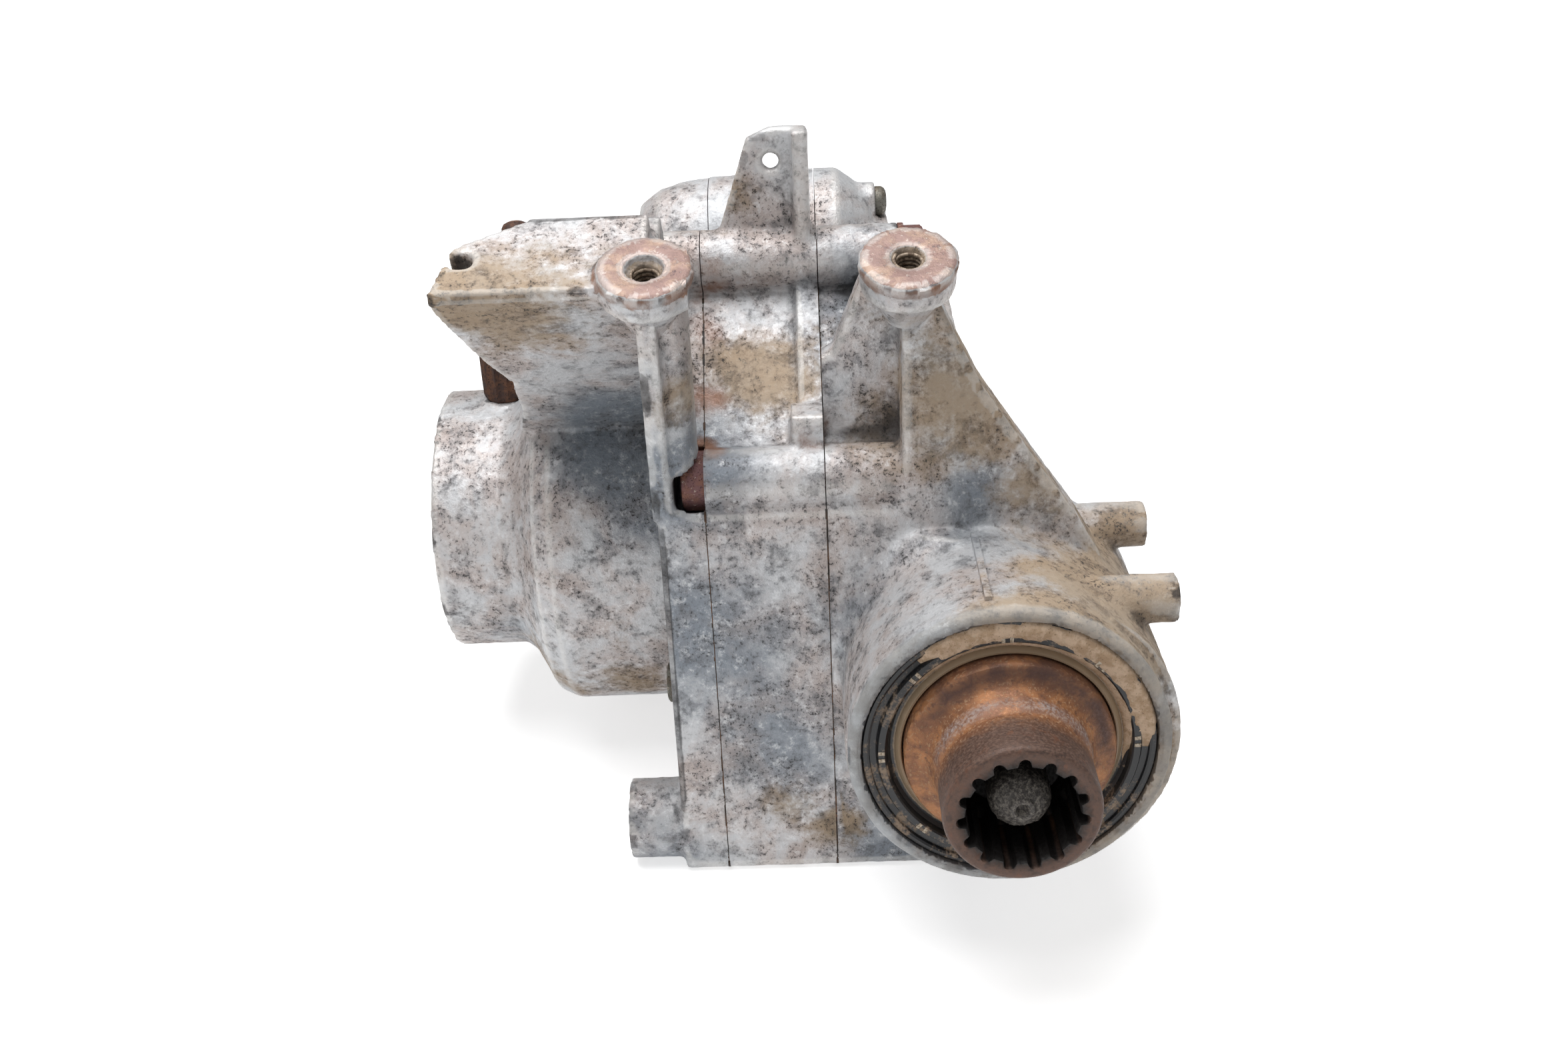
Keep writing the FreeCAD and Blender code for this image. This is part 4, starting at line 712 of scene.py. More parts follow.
def cast_masks(skin, normals, close, bend):
    """Where the casting is dusty, worn, wet-looking or rusted, and where grime and painted shade darken it.
    """
    p = skin.points
    wander = p + np.stack([lattice(p, 9.0, k + 3) for k in range(3)], axis=1) * 4.0
    upward = np.clip(normals[:, 2], 0, 1)
    # Painted shade: points shut in by nearby surfaces, and hollow corners, are darkened. The seams, the
    # mouth and the pads' flanks add grime below.
    grime_and_shade = np.clip((close - 0.3) * 1.9, 0, 1) + np.clip(bend * 2.0, 0, 0.45)
    reach = np.hypot(p[:, 0], p[:, 2])
    mouth = (reach > 34.3) & (reach < 38.6) & (p[:, 1] < -135.2)
    grime_and_shade += mouth * (0.62 + 0.3 * lattice(p, 4.0, 21))
    for seam in SEAMS:
        grime_and_shade += 0.35 * np.exp(-((p[:, 0] - seam) / 0.45) ** 2)
    edge = np.clip(-bend * 3.0, 0, 1) * np.clip(1.2 - close * 1.5, 0, 1)
    soil = np.clip(blob(wander, SOIL) + 0.12 * upward + 0.2 * mouth, 0, 1)
    rust = blob(wander, RUST)
    pads = np.zeros(len(p))
    for x in PAD_SPOTS.values():
        rise, flat = from_pad(p, x)
        inside = (np.abs(rise) < 0.9) & (flat < PAD_R + 1.5) & (flat > 4.4)
        pads = np.maximum(pads, inside * np.clip(normals @ PAD_UP * 2 - 1, 0, 1))
        rim = np.exp(-((flat - PAD_R) / 0.9) ** 2) * (np.abs(rise) < 3.0)
        edge = np.maximum(edge, rim * (0.3 + 0.35 * lattice(p, 2.0, 5)))
        flank = (flat > PAD_R - 1.2) & (flat < PAD_R + 1.2) & (rise > -3.4) & (rise < -0.3)
        rust = np.maximum(rust, flank * (0.62 + 0.3 * lattice(p, 3.0, 6)))
        grime_and_shade += flank * (0.3 + 0.3 * lattice(p, 2.2, 7))
        soil = np.maximum(soil, (flat < 4.4) * (rise < 0.5) * (rise > -12) * 0.6)
    return {
        "soil": soil * (1 - pads), "grime_and_shade": np.clip(grime_and_shade, 0, 1) * (1 - 0.8 * pads),
        "edge": np.clip(edge, 0, 1), "slate": np.clip(blob(wander, SLATE) + 0.7 * mouth, 0, 1),
        "rust": np.clip(rust, 0, 1), "pad": pads,
    }


def block(x0, x1, y0, y1, z0, z1):
    """Points and faces of a box."""
    points = [(x, y, z) for z in (z0, z1) for x, y in ((x0, y0), (x1, y0), (x1, y1), (x0, y1))]
    faces = [(0, 3, 2, 1), (4, 5, 6, 7), (0, 1, 5, 4), (1, 2, 6, 5), (2, 3, 7, 6), (3, 0, 4, 7)]
    return np.array(points, float), faces


def hexagon(flats):
    """The radius of a hexagon seen along its axis, as a function of the angle."""
    def reach(angles):
        return flats / 2 / np.cos(angles % (math.pi / 3) - math.pi / 6)
    return reach


def least(first, second):
    return lambda angles: np.minimum(first(angles), second)


def wavy(radius, count, depth, sharp=1.0):
    """A radius with grooves, count times round."""
    return lambda angles: radius - depth * np.abs(np.cos(angles * count / 2)) ** sharp


def circle(angles, radius, depth):
    """Points round a circle, at which a noise is read."""
    return np.stack([np.cos(angles) * radius, np.sin(angles) * radius, np.full(len(angles), depth)], axis=1)


def uneven(radius, amount, seed, count=9):
    """A radius or a height that wanders by the given amount round the turn."""
    def reach(angles):
        spots = circle(angles, count, seed * 5.0)
        return radius + amount * (lattice(spots, 1.7, seed) + 0.6 * lattice(spots, 0.6, seed + 1))
    return reach


def head(axis, base, height, flats, centre, away, steps=72):
    """A hexagon head with a chamfered crown, standing from base along its axis."""
    flat = hexagon(flats)
    stations = [(base, 0.0), (base, flat)]
    for share in (0.74, 0.86, 0.95, 1.0):
        crown = flats * (0.47 if share == 1.0 else 0.485) + height * (1 - share) * 1.9
        stations.append((base + away * height * share, least(flat, crown)))
    stations += [(base + away * height * 1.0, flats * 0.3), (base + away * height * 0.94, 0.0)]
    return turned(axis, stations, centre, steps)


def combined(parts):
    """Several (points, faces) as one."""
    points, faces, start = [], [], 0
    for spots, polygons in parts:
        points.append(spots)
        faces += [tuple(start + i for i in face) for face in polygons]
        start += len(spots)
    return np.concatenate(points), faces


def slanted(points):
    """Points about the Z axis, moved to the slanting plane of the pads."""
    across = np.outer(points[:, 0], [1.0, 0, 0])
    return across + np.outer(points[:, 1], PAD_BACK) + np.outer(points[:, 2], PAD_UP)


# Geometry Nodes.
def node_tree(name, sockets):
    tree = bpy.data.node_groups.new(name, "GeometryNodeTree")
    tree.interface.new_socket("Geometry", in_out="INPUT", socket_type="NodeSocketGeometry")
    for label, kind in sockets:
        tree.interface.new_socket(label, in_out="INPUT", socket_type="NodeSocket" + kind)
    tree.interface.new_socket("Geometry", in_out="OUTPUT", socket_type="NodeSocketGeometry")
    return tree, tree.nodes.new("NodeGroupInput").outputs


def close_tree(tree, geometry, finish):
    """Realize Instances, Set Material and the group's output."""
    solid = add_node(tree, "GeometryNodeRealizeInstances", {"Geometry": geometry})
    painted = add_node(tree, "GeometryNodeSetMaterial", {"Geometry": solid.outputs[0], "Material": finish})
    add_node(tree, "NodeGroupOutput", {0: painted.outputs[0]})


def run_tree(mesh, tree, **values):
    """The mesh that the tree makes from the given one."""
    item = linked("work", mesh)
    step = item.modifiers.new("step", "NODES")
    step.node_group = tree
    for socket in tree.interface.items_tree:
        key = socket.name.lower()
        if socket.in_out == "INPUT" and key in values:
            step[socket.identifier] = values[key]
    return evaluated(item)


def copies(spots, facing, pattern, finish, jitter=(0.0, 0.0, 0.0), seed=1):
    """The pattern copied to each spot, turned as facing says and a little by chance."""
    tree, given = node_tree("copies", (
        ("Pattern", "Object"), ("Jitter", "Vector"), ("Seed", "Int"), ("Material", "Material")))
    aim = add_node(tree, "GeometryNodeInputNamedAttribute", {"Name": "facing"}, data_type="FLOAT_VECTOR")
    least_turn = add_node(tree, "ShaderNodeVectorMath", {0: given["Jitter"], 1: (-1.0, -1.0, -1.0)},
                            operation="MULTIPLY")
    chance = add_node(tree, "FunctionNodeRandomValue", {
        0: least_turn.outputs[0], 1: given["Jitter"], "Seed": given["Seed"]}, data_type="FLOAT_VECTOR")
    turn = add_node(tree, "ShaderNodeVectorMath", {
        0: aim.outputs[0], 1: chance.outputs[0]}, operation="ADD")
    shown = add_node(tree, "GeometryNodeObjectInfo", {"Object": given["Pattern"]})
    placed = add_node(tree, "GeometryNodeInstanceOnPoints", {
        "Points": given["Geometry"], "Instance": shown.outputs["Geometry"], "Rotation": turn.outputs[0]})
    close_tree(tree, placed.outputs[0], given["Material"])
    points = bpy.data.meshes.new("spots")
    points.from_pydata([tuple(np.array(spot, float) * MM) for spot in spots], [], [])
    layer = points.attributes.new("facing", "FLOAT_VECTOR", "POINT")
    layer.data.foreach_set("vector", np.array(facing, np.float32).ravel())
    sample = linked("pattern", mesh_of("pattern", *pattern))
    result = run_tree(points, tree, pattern=sample, jitter=jitter, seed=seed, material=material(finish))
    bpy.data.objects.remove(sample)
    return result


def thread(radius, pitch, length, finish):
    """The ridge of a thread as a spiral wire along Z, from 0 down to -length."""
    tree, given = node_tree("thread", (
        ("Turns", "Float"), ("Radius", "Float"), ("Length", "Float"), ("Wire", "Float"),
        ("Material", "Material")))
    spiral = add_node(tree, "GeometryNodeCurveSpiral", {
        "Resolution": 40, "Rotations": given["Turns"], "Start Radius": given["Radius"],
        "End Radius": given["Radius"], "Height": given["Length"]})
    wire = add_node(tree, "GeometryNodeCurvePrimitiveCircle", {"Resolution": 4, "Radius": given["Wire"]})
    ridge = add_node(tree, "GeometryNodeCurveToMesh", {
        "Curve": spiral.outputs[0], "Profile Curve": wire.outputs[0], "Fill Caps": True})
    close_tree(tree, ridge.outputs[0], given["Material"])
    start = bpy.data.meshes.new("start")
    mesh = run_tree(start, tree, turns=length / pitch, radius=radius * MM, length=length * MM,
                    wire=pitch * 0.42 * MM, material=material(finish))
    mesh.transform(Matrix.Translation((0, 0, -length * MM)))
    return mesh


def snap_round(skin, axis, radius, low, high, gap=0.3):
    """Brings nearly round walls to their exact radius."""
    line, across, up = AXES[axis]
    along = skin.points @ line
    a, b = skin.points @ across, skin.points @ up
    reach = np.hypot(a, b)
    chosen = (np.abs(reach - radius) < gap) & (along > low) & (along < high)
    scale = np.where(chosen, radius / np.maximum(reach, 1e-6), 1.0)
    skin.points = (np.outer(along, line) + np.outer(a * scale, across) + np.outer(b * scale, up))


def stretched(shape, name):
    """Moves the casting's seam faces out, so that the rounding of the skin ends up past the seam."""
    for x, side in SEAM_FACES[name]:
        for vertex in shape.verts:
            if abs(vertex.co.x / MM - x) < 0.02:
                vertex.co.x += SEAM_STRETCH * side * MM


def trimmed(mesh, name):
    """The casting cut flat at its seams, close to the gasket's middle."""
    shape = bmesh.new()
    shape.from_mesh(mesh)
    for x, side in SEAM_FACES[name]:
        rim = cut(shape, ((x + SEAM_CUT * side) * MM, 0, 0), (side, 0, 0))
        bmesh.ops.triangle_fill(shape, edges=rim, normal=(side, 0, 0))
    bmesh.ops.recalc_face_normals(shape, faces=shape.faces)
    shape.to_mesh(mesh)
    shape.free()


def mouth_ring():
    """The turned mouth of the pinion housing, crisp where the cast skin is not."""
    return turned("Y", [
        (-130.0, 37.7), (-131.0, uneven(38.1, 0.12, 3)), (-135.9, uneven(38.2, 0.12, 4)),
        (uneven(-136.7, 0.12, 6), 37.6), (uneven(-137.1, 0.1, 5), 36.7), (-137.1, 35.9),
        (-136.7, 35.4), (-136.2, 35.15), (-135.0, 34.95), (-130.0, 34.95),
    ], steps=240)


def pad_cap(x, rim, bore, sunk):
    """The corroded rim and top of a threaded pad."""
    stations = [
        (-1.6, rim - 0.6),
        (uneven(-0.9, 0.3, x), uneven(rim, 0.22, x)),
        (uneven(1.3, 0.18, x + 1), uneven(rim + 0.1, 0.28, x + 2)),
        (uneven(1.95, 0.1, x + 3), uneven(rim - 0.6, 0.3, x + 4)),
        (uneven(2.25, 0.07, x + 5), rim - 1.6),
        (uneven(2.15, 0.06, x + 6), rim - 4.0),
    ]
    if sunk:
        stations += [(2.12, bore + 2.4), (1.7, bore + 1.7), (0.4, bore + 1.0), (-0.2, bore + 0.1)]
    else:
        stations += [(2.12, bore + 1.2), (1.7, bore + 0.5), (1.0, bore + 0.3), (0.2, bore)]
    spots, faces = turned("Z", stations + [(-14.0, bore), (-15.0, rim - 6)], steps=180)
    return slanted(spots + [0.0, PAD_SLOPE, 0.0]) + PAD_ROW + [x, 0.0, 0.0], faces


def crisp_parts(name):
    """Turned and machined details of one casting, each a closed mesh."""
    if name == "right_case":
        ridge = block(-5.8, -4.2, -131.5, -98.5, 33.0, 38.9)
        return [mouth_ring(), pad_cap(PAD_SPOTS["upper_right"], 11.4, 3.4, False), ridge]
    if name == "left_case":
        return [pad_cap(PAD_SPOTS["upper_left"], 11.3, 3.4, True)]
    return []


def in_pad(points, reach, low, high):
    found = np.zeros(len(points), bool)
    for x in PAD_SPOTS.values():
        rise, flat = from_pad(points, x)
        found |= (flat < reach) & (rise > low) & (rise < high)
    return found


def held_still(skin, shut, name):
    """Where the skin stays as modelled: inside the case, in bores and past the seams."""
    in_mouth = (np.hypot(skin.points[:, 0], skin.points[:, 2]) < 36.4) & (skin.points[:, 1] < -125)
    still = (shut > 0.97) | in_pad(skin.points, 7.0, -22.0, 1.0) | in_mouth
    for x, side in SEAM_FACES[name]:
        still |= (skin.points[:, 0] - x) * side > 1.9
    return still


def bending(skin, normals, name):
    """How the skin bends: above 0 in hollow corners, below 0 on outer edges."""
    bend = ((skin.mean(skin.points) - skin.points) * normals).sum(axis=1)
    for _ in range(3):
        bend = skin.mean(bend)
    bend = bend / 0.05
    for x, side in SEAM_FACES[name]:
        bend = np.where((skin.points[:, 0] - x) * side > 0.2, 0.0, bend)
    return bend


def casting(name, tree):
    """One casting: the solid's shape with filled inner corners, soft edges and a rough skin."""
    look = bpy.context.scene.diff_casting
    grain, passes = look.grain, look.crease
    shape = merged(name)
    plain = bpy.data.meshes.new(name + "_plain")
    shape.to_mesh(plain)
    coarse = through(plain, "REMESH", mode="VOXEL", voxel_size=SHELTER_GRAIN)
    stretched(shape, name)
    shape.to_mesh(plain)
    shape.free()
    close, shut = shelter(tree, coarse)
    spots = Skin(coarse)
    close = spots.mean(close) * 0.5 + close * 0.5
    dense = through(plain, "REMESH", mode="VOXEL", voxel_size=grain)
    skin = Skin(dense)
    match = nearest(spots.points, skin.points)
    close, shut = close[match], shut[match]
    for x, side in SEAM_FACES[name]:
        close = close * (1 - 0.85 * np.exp(-((skin.points[:, 0] - x) / 3.4) ** 2))
    still = held_still(skin, shut, name)
    skin.fill(passes, np.where(still, 0.0, 1.0), np.where(still, 0.0, 0.32))
    normals = skin.normals()
    bend = bending(skin, normals, name)
    for axis, radius, low, high in ROUND_WALLS:
        snap_round(skin, axis, radius, low, high)
    rough = (lattice(skin.points, 2.4, 1) + 0.7 * lattice(skin.points, 1.2, 2)) * look.pitting / MM
    rough += 0.09 * lattice(skin.points, 14.0, 4)
    skin.points += normals * (rough * ~still)[:, None]
    skin.write()
    light = dense
    triangles = sum(len(face.vertices) - 2 for face in dense.polygons)
    if triangles > MOST_TRIANGLES:
        light = through(dense, "DECIMATE", ratio=MOST_TRIANGLES / triangles)
    trimmed(light, name)
    joined(light, [mesh_of("crisp", points, faces) for points, faces in crisp_parts(name)])
    final = Skin(light)
    match = nearest(skin.points, final.points)
    masks = cast_masks(final, final.normals(), close[match], bend[match])
    return piece(name + "_cast", light, "casting", "housing", [name], masks, sharp=62)


class BuildCastings(bpy.types.Operator):
    """The three castings with their rough, dusty skin"""
    bl_idname = "differential.castings"
    bl_label = "Castings"

    def execute(self, context):
        tree = everything()
        for name in CASTINGS:
            casting(name, tree)
        return {"FINISHED"}


def coupler():
    """The coupler with its slotted mouth, worn neck and rusted hub; shadow is painted on the hub's disc, a
    highlight on the top of the neck and shade in the bore.
    """
    look = bpy.context.scene.diff_input
    tip, root, outer = look.key_tip / MM, look.key_root / MM, look.outer / MM

    def slots(depth=1.0, grow=0.0):
        def reach(angles):
            turn = (angles * look.keys / (2 * math.pi) + 0.5) % 1.0 - 0.5
            lift = np.sqrt(np.clip(1 - (turn / 0.26) ** 2, 0, 1))
            return tip + grow + (root - tip) * depth * lift
        return reach

    stations = [
        (-117.2, 18.4), (-121, 24.8), (-136.6, 24.95), (-137.6, uneven(24.9, 0.1, 2)),
        (-138.3, uneven(24.4, 0.2, 3)), (-138.7, 23.4), (-139.0, 22.2), (-139.6, 20.9), (-140.6, 19.7),
        (-142.0, 18.9), (-144.0, uneven(18.4, 0.12, 4)), (-145.6, uneven(18.1, 0.14, 5)), (-146.6, 17.5),
        (-147.4, 17.25), (-148.3, 17.5), (-148.9, 18.0), (-152.0, uneven(outer, 0.06, 6)),
        (-157.0, uneven(outer, 0.07, 7)), (-160.4, uneven(outer - 0.02, 0.08, 8)), (-161.3, outer - 0.3),
        (-161.8, outer - 0.9), (-162.0, outer - 1.7), (-162.0, uneven(root + 0.75, 0.05, 9)),
        (-161.95, slots(1.0, 0.35)), (-161.6, slots(1.0, 0.12)), (-160.8, slots()), (-158.0, slots()),
        (-154.0, slots()), (-149.0, slots()), (-146.0, slots(0.9)), (-144.5, slots(0.1)), (-143.5, 12.6),
        (-140.0, 12.3), (-138.4, 8.2), (-117.2, 12.1),
    ]
    mesh = mesh_of("coupler", *turned("Y", stations, steps=look.keys * 24))
    skin = Skin(mesh)
    p = skin.points
    reach = np.hypot(p[:, 0], p[:, 2])
    angle = np.degrees(np.arctan2(p[:, 2], p[:, 0]))
    wander = lattice(p, 5.0, 11)
    # Painted shadow: a dark crescent over the upper part of the hub's disc, where the housing's rim shades
    # it.
    crescent = np.exp(-((reach - 22.8 + wander) / 2.3) ** 2) * (p[:, 1] > -140.5)
    crescent = crescent * np.clip((angle + 8) / 10, 0, 1) * np.clip((165 - angle) / 30, 0, 1)
    # The ridge on the neck and the line on the coupler turn lighter only on their top: worn bands with a
    # painted highlight where the overhead light falls.
    ridge = np.exp(-((p[:, 1] + 144.5) / 1.3) ** 2)
    ridge = ridge * np.clip(p[:, 2] / 9, 0, 1) * np.clip(0.9 + wander, 0, 1)
    line = np.exp(-((p[:, 1] + 150.2 + 0.5 * wander) / 0.45) ** 2) * np.clip(p[:, 2] / 12, 0, 1) * 0.9
    masks = {
        "hub_shadow": crescent, "wear_and_highlight": np.clip(np.maximum(ridge, line), 0, 1),
        # Painted shade inside the bore: this mask turns it nearly black.
        "bore": np.clip((15.0 - reach) / 0.5, 0, 1) * (p[:, 1] < -138),
    }
    piece("input_coupler_worn", mesh, "coupler", "pinion", ["input_coupler"], masks, 38)


def pinion_end():
    """The pinion shaft with its pitted, centre-drilled end."""
    shape = merged("pinion_shaft")
    rim = cut(shape, (0, -0.1362, 0), (0, -1, 0))
    bmesh.ops.holes_fill(shape, edges=rim)
    mesh = bpy.data.meshes.new("pinion_shaft_worn")
    stations = [(-136.0, 0.0), (-136.0, 7.4), (-154.2, 7.15)]
    for along, radius, amount in ((-155.4, 7.0, 0.12), (-156.4, 6.6, 0.22), (-157.2, 6.0, 0.25),
                                  (-158.0, 5.2, 0.22), (-158.6, 4.4, 0.18), (-159.1, 3.6, 0.1)):
        stations.append((along, uneven(radius, amount, int(-along * 10))))
    stations += [(-159.4, 3.15), (-159.8, 2.95), (-160.1, 2.6), (-160.15, 1.9)]
    stations += [(-159.9, 1.6), (-158.9, 1.2), (-157.8, 0.0)]
    end = mesh_of("shaft_end", *turned("Y", stations, steps=120))
    shape.from_mesh(end)
    shape.to_mesh(mesh)
    shape.free()
    piece("pinion_shaft_worn", mesh, "shaft", "pinion", ["pinion_shaft"], sharp=35)


def input_seal():
    look = bpy.context.scene.diff_input
    rubber = mesh_of("seal", *turned("Y", [
        (-128.0, 34.9), (-135.4, 34.9), (-135.9, 34.5), (-136.0, 33.6), (-135.7, 33.1), (-134.9, 32.9),
        (-134.8, 31.5), (-135.6, 31.2), (-136.0, 30.9), (-136.05, 29.4), (-135.7, 29.0), (-134.0, 28.7),
        (-133.4, 27.9), (-133.5, 27.0), (-134.2, 26.6), (-134.7, 26.0), (-134.6, 25.5), (-133.9, 25.2),
        (-131.6, 25.1), (-128.0, 26.4),
    ], steps=200))
    skin = Skin(rubber)
    reach = np.hypot(skin.points[:, 0], skin.points[:, 2])
    masks = {"dusty": np.clip((27.6 - reach) / 0.8, 0, 1)}
    piece("pinion_seal_worn", rubber, "seal_rubber", "housing", ["pinion_seal"], masks, 35)

    spots, facing = [], []
    for pair in range(look.nibs):
        for side in (-1, 1):
            angle = math.radians(360.0 * pair / look.nibs + 2.0) + side * 0.033
            spots.append((30.15 * math.cos(angle), -136.0, 30.15 * math.sin(angle)))
            facing.append((0.0, -angle, 0.0))
    nib = block(-0.75, 0.75, -0.22, 0.4, -0.42, 0.42)
    nibs = copies(spots, facing, nib, "nib", (0.0, 0.04, 0.0), 4)
    piece("seal_nibs", nibs, "nib", "housing", sharp=30)

    def crust(height, seed):
        def along(angles):
            turn = np.degrees(angles)
            side = np.minimum(np.abs((turn - 25 + 180) % 360 - 180), 180)
            cover = np.clip((78 - side) / 24, 0, 1)
            spots = circle(angles, 30, seed * 9.0)
            bumps = 0.45 * lattice(spots, 4.0, seed) + 0.3 * lattice(spots, 1.5, seed + 1)
            return -133.4 - cover * cover * (3 - 2 * cover) * np.maximum(height + bumps, 0.2)
        return along
    mud = mesh_of("mud", *turned("Y", [
        (-132.0, 35.0), (crust(2.2, 1), 34.9), (crust(3.0, 2), 34.0), (crust(3.1, 3), 32.8),
        (crust(3.0, 4), 31.4), (crust(2.7, 5), 30.0), (crust(2.2, 6), 28.9), (crust(1.2, 7), 27.9),
        (crust(0.2, 8), 27.2), (-132.0, 27.4),
    ], steps=260))
    piece("seal_mud", mud, "mud", "housing", sharp=0)


class BuildInput(bpy.types.Operator):
    """Coupler, shaft end, oil seal with its nibs, and the mud on it"""
    bl_idname = "differential.input_end"
    bl_label = "Input end"

    def execute(self, context):
        coupler()
        pinion_end()
        input_seal()
        return {"FINISHED"}


def around(angle, radius):
    return radius * math.cos(math.radians(angle)), radius * math.sin(math.radians(angle))


def screw(axis, base, tall, flats, place, away, shank, steps=32, head_steps=72):
    """A hexagon bolt: its head stands from base, and its shank is (radius, one end, other end)."""
    radius, start, end = shank
    return combined([
        head(axis, base, tall, flats, place, away, head_steps),
        turned(axis, [(start, 0.0), (start, radius), (end, radius), (end, 0.0)], place, steps),
    ])


def worn(node, mesh, finish, sharp=28):
    """The piece that takes the place of one fastener of the case."""
    piece(node + "_worn", mesh, finish, "housing", [node], sharp=sharp)


class BuildFasteners(bpy.types.Operator):
    """Bolts, washers, plugs and the threads in the pads"""
    bl_idname = "differential.fasteners"
    bl_label = "Fasteners"

    def execute(self, context):
        self.cover_bolts()
        self.case_bolts()
        self.case_washers()
        self.chin_bolt()
        self.plugs()
        self.caps()
        self.threads(context.scene.diff_fasteners.pitch)
        return {"FINISHED"}

    def cover_bolts(self):
        flange = turned("X", [(-0.9, 0.0), (-0.9, 6.3), (-0.5, 6.5), (0.0, 6.5), (0.0, 0.0)], steps=48)
        pattern = combined([screw("X", 0.0, 4.4, 10.0, (0, 0, 0), -1, (2.95, 0.0, 26.9), 24), flange])
        spots = [(-83.0, *around(angle, 66.0)) for angle in (142, 202, 330, 22)]
        mesh = copies(spots, [(0.0, 0.0, 0.0)] * 4, pattern, "fastener_steel", (1.5, 0.0, 0.0), 3)
        worn("cover_bolts", mesh, "fastener_steel")

    def case_bolts(self):
        pattern = screw("X", -1.5, 5.2, 13.0, (0, 0, 0), -1, (3.95, -1.5, 57.0))
        rear = [(-83.0, *spot) for spot in REAR_BOLTS]
        mesh = copies(rear, [(0.0, 0.0, 0.0)] * 2, pattern, "rusted_bolt", (1.5, 0.0, 0.0), 8)
        brow = mesh_of("brow", *screw("X", -18.5, 5.2, 13.0, BROW_BOLT, 1, (3.95, -78.0, -18.5)))
        joined(mesh, [brow])
        worn("clamp_bolts", mesh, "rusted_bolt")

    def case_washers(self):
        rings = []
        for x, place in ((-84.5, (0, *REAR_BOLTS[0])), (-84.5, (0, *REAR_BOLTS[1])), (-20.0, BROW_BOLT)):
            rings.append(turned("X", [
                (x, 4.5), (x, uneven(7.9, 0.06, 4)), (x + 0.25, 8.0), (x + 1.25, 8.0), (x + 1.5, 7.9),
                (x + 1.5, 4.5)], place, 60))
        worn("clamp_washers", mesh_of("washers", *combined(rings)), "rusted_bolt")

    def chin_bolt(self):
        chin = screw("X", -70.7, 6.0, 13.0, CHIN_BOLT, -1, (3.95, -70.7, -26.1), head_steps=96)
        worn("chin_bolt", mesh_of("chin", *chin), "rusted_bolt")

    def plugs(self):
        rings = []
        for node, z, flats, tall, shank, deep, outer, inner in (
                ("fill_plug", 0.0, 17.0, 6.5, 6.95, 7.0, 10.5, 7.05),
                ("drain_plug", -45.0, 13.0, 5.5, 4.95, 12.0, 8.0, 5.05)):
            place = (-56.0, 0, z)
            plug = screw("Y", 69.5, tall, flats, place, 1, (shank, 69.5, 68.0 - deep), 40)
            worn(node, mesh_of(node, *plug), "fastener_steel")
            rings.append(turned("Y", [
                (68.0, inner), (68.1, outer - 0.2), (68.4, outer), (69.2, outer), (69.5, outer - 0.2),
                (69.5, inner)], place, 60))
        worn("plug_washers", mesh_of("plug_washers", *combined(rings)), "fastener_steel")

    def caps(self):
        vent = turned("X", [
            (-30.0, 0.0), (-30.0, 2.9), (-23.5, 2.9), (-23.5, 4.1), (-23.2, 4.2), (-21.7, 4.15),
            (-20.9, 3.7), (-20.4, 2.9), (-20.2, 1.8), (-20.2, 0.0)], (0, 5.0, 94.3), 60)
        ribbed = turned("Z", [
            (35.2, 0.0), (35.2, 3.4), (40.2, 3.4), (40.2, 5.6), (40.9, wavy(6.3, 12, 0.3)),
            (42.0, wavy(6.6, 12, 0.9)), (48.0, wavy(6.65, 12, 1.0)), (58.0, wavy(6.6, 12, 1.0)),
            (64.0, wavy(6.5, 12, 0.9)), (66.6, wavy(5.6, 12, 0.4)), (67.8, 4.4), (68.0, 3.0), (68.0, 0.0),
        ], (-135.7, 0, 0), 192)
        small = turned("Z", [
            (106.0, 0.0), (106.0, 1.9), (110.5, 1.9), (110.5, 3.35), (112.0, 3.4), (112.9, 2.9),
            (113.4, 1.9), (113.6, 0.9), (113.65, 0.0)], (-113.8, -71.8, 0), 60)
        worn("vent_cap", mesh_of("vent", *vent), "fastener_steel", 35)
        worn("ribbed_plug", mesh_of("ribbed", *ribbed), "core", 45)
        worn("arm_plug", mesh_of("arm_plug", *small), "core", 45)

    def threads(self, pitch):
        for mount, x in PAD_SPOTS.items():
            wire = thread(3.35, pitch / MM, 12.0, "thread_steel")
            place = Matrix((Vector((1, 0, 0)), Vector(PAD_BACK), Vector(PAD_UP))).transposed().to_4x4()
            place.translation = Vector(pad_point(x, -0.4 if mount == "upper_left" else 1.2)) * MM
            wire.transform(place)
            piece(mount + "_thread", wire, "thread_steel", "housing", sharp=0)


class BuildCarriedOver(bpy.types.Operator):
    """Finishes of the CAD pieces that are shown as they are"""
    bl_idname = "differential.carried_over"
    bl_label = "Carried-over pieces"

    def execute(self, context):
        finishes = {"rusted_steel": "coupler", "casting": "casting"}
        for node, item in frame["nodes"].items():
            item.data.materials.clear()
            item.data.materials.append(material(finishes.get(SLOTS[node], SLOTS[node])))
        return {"FINISHED"}


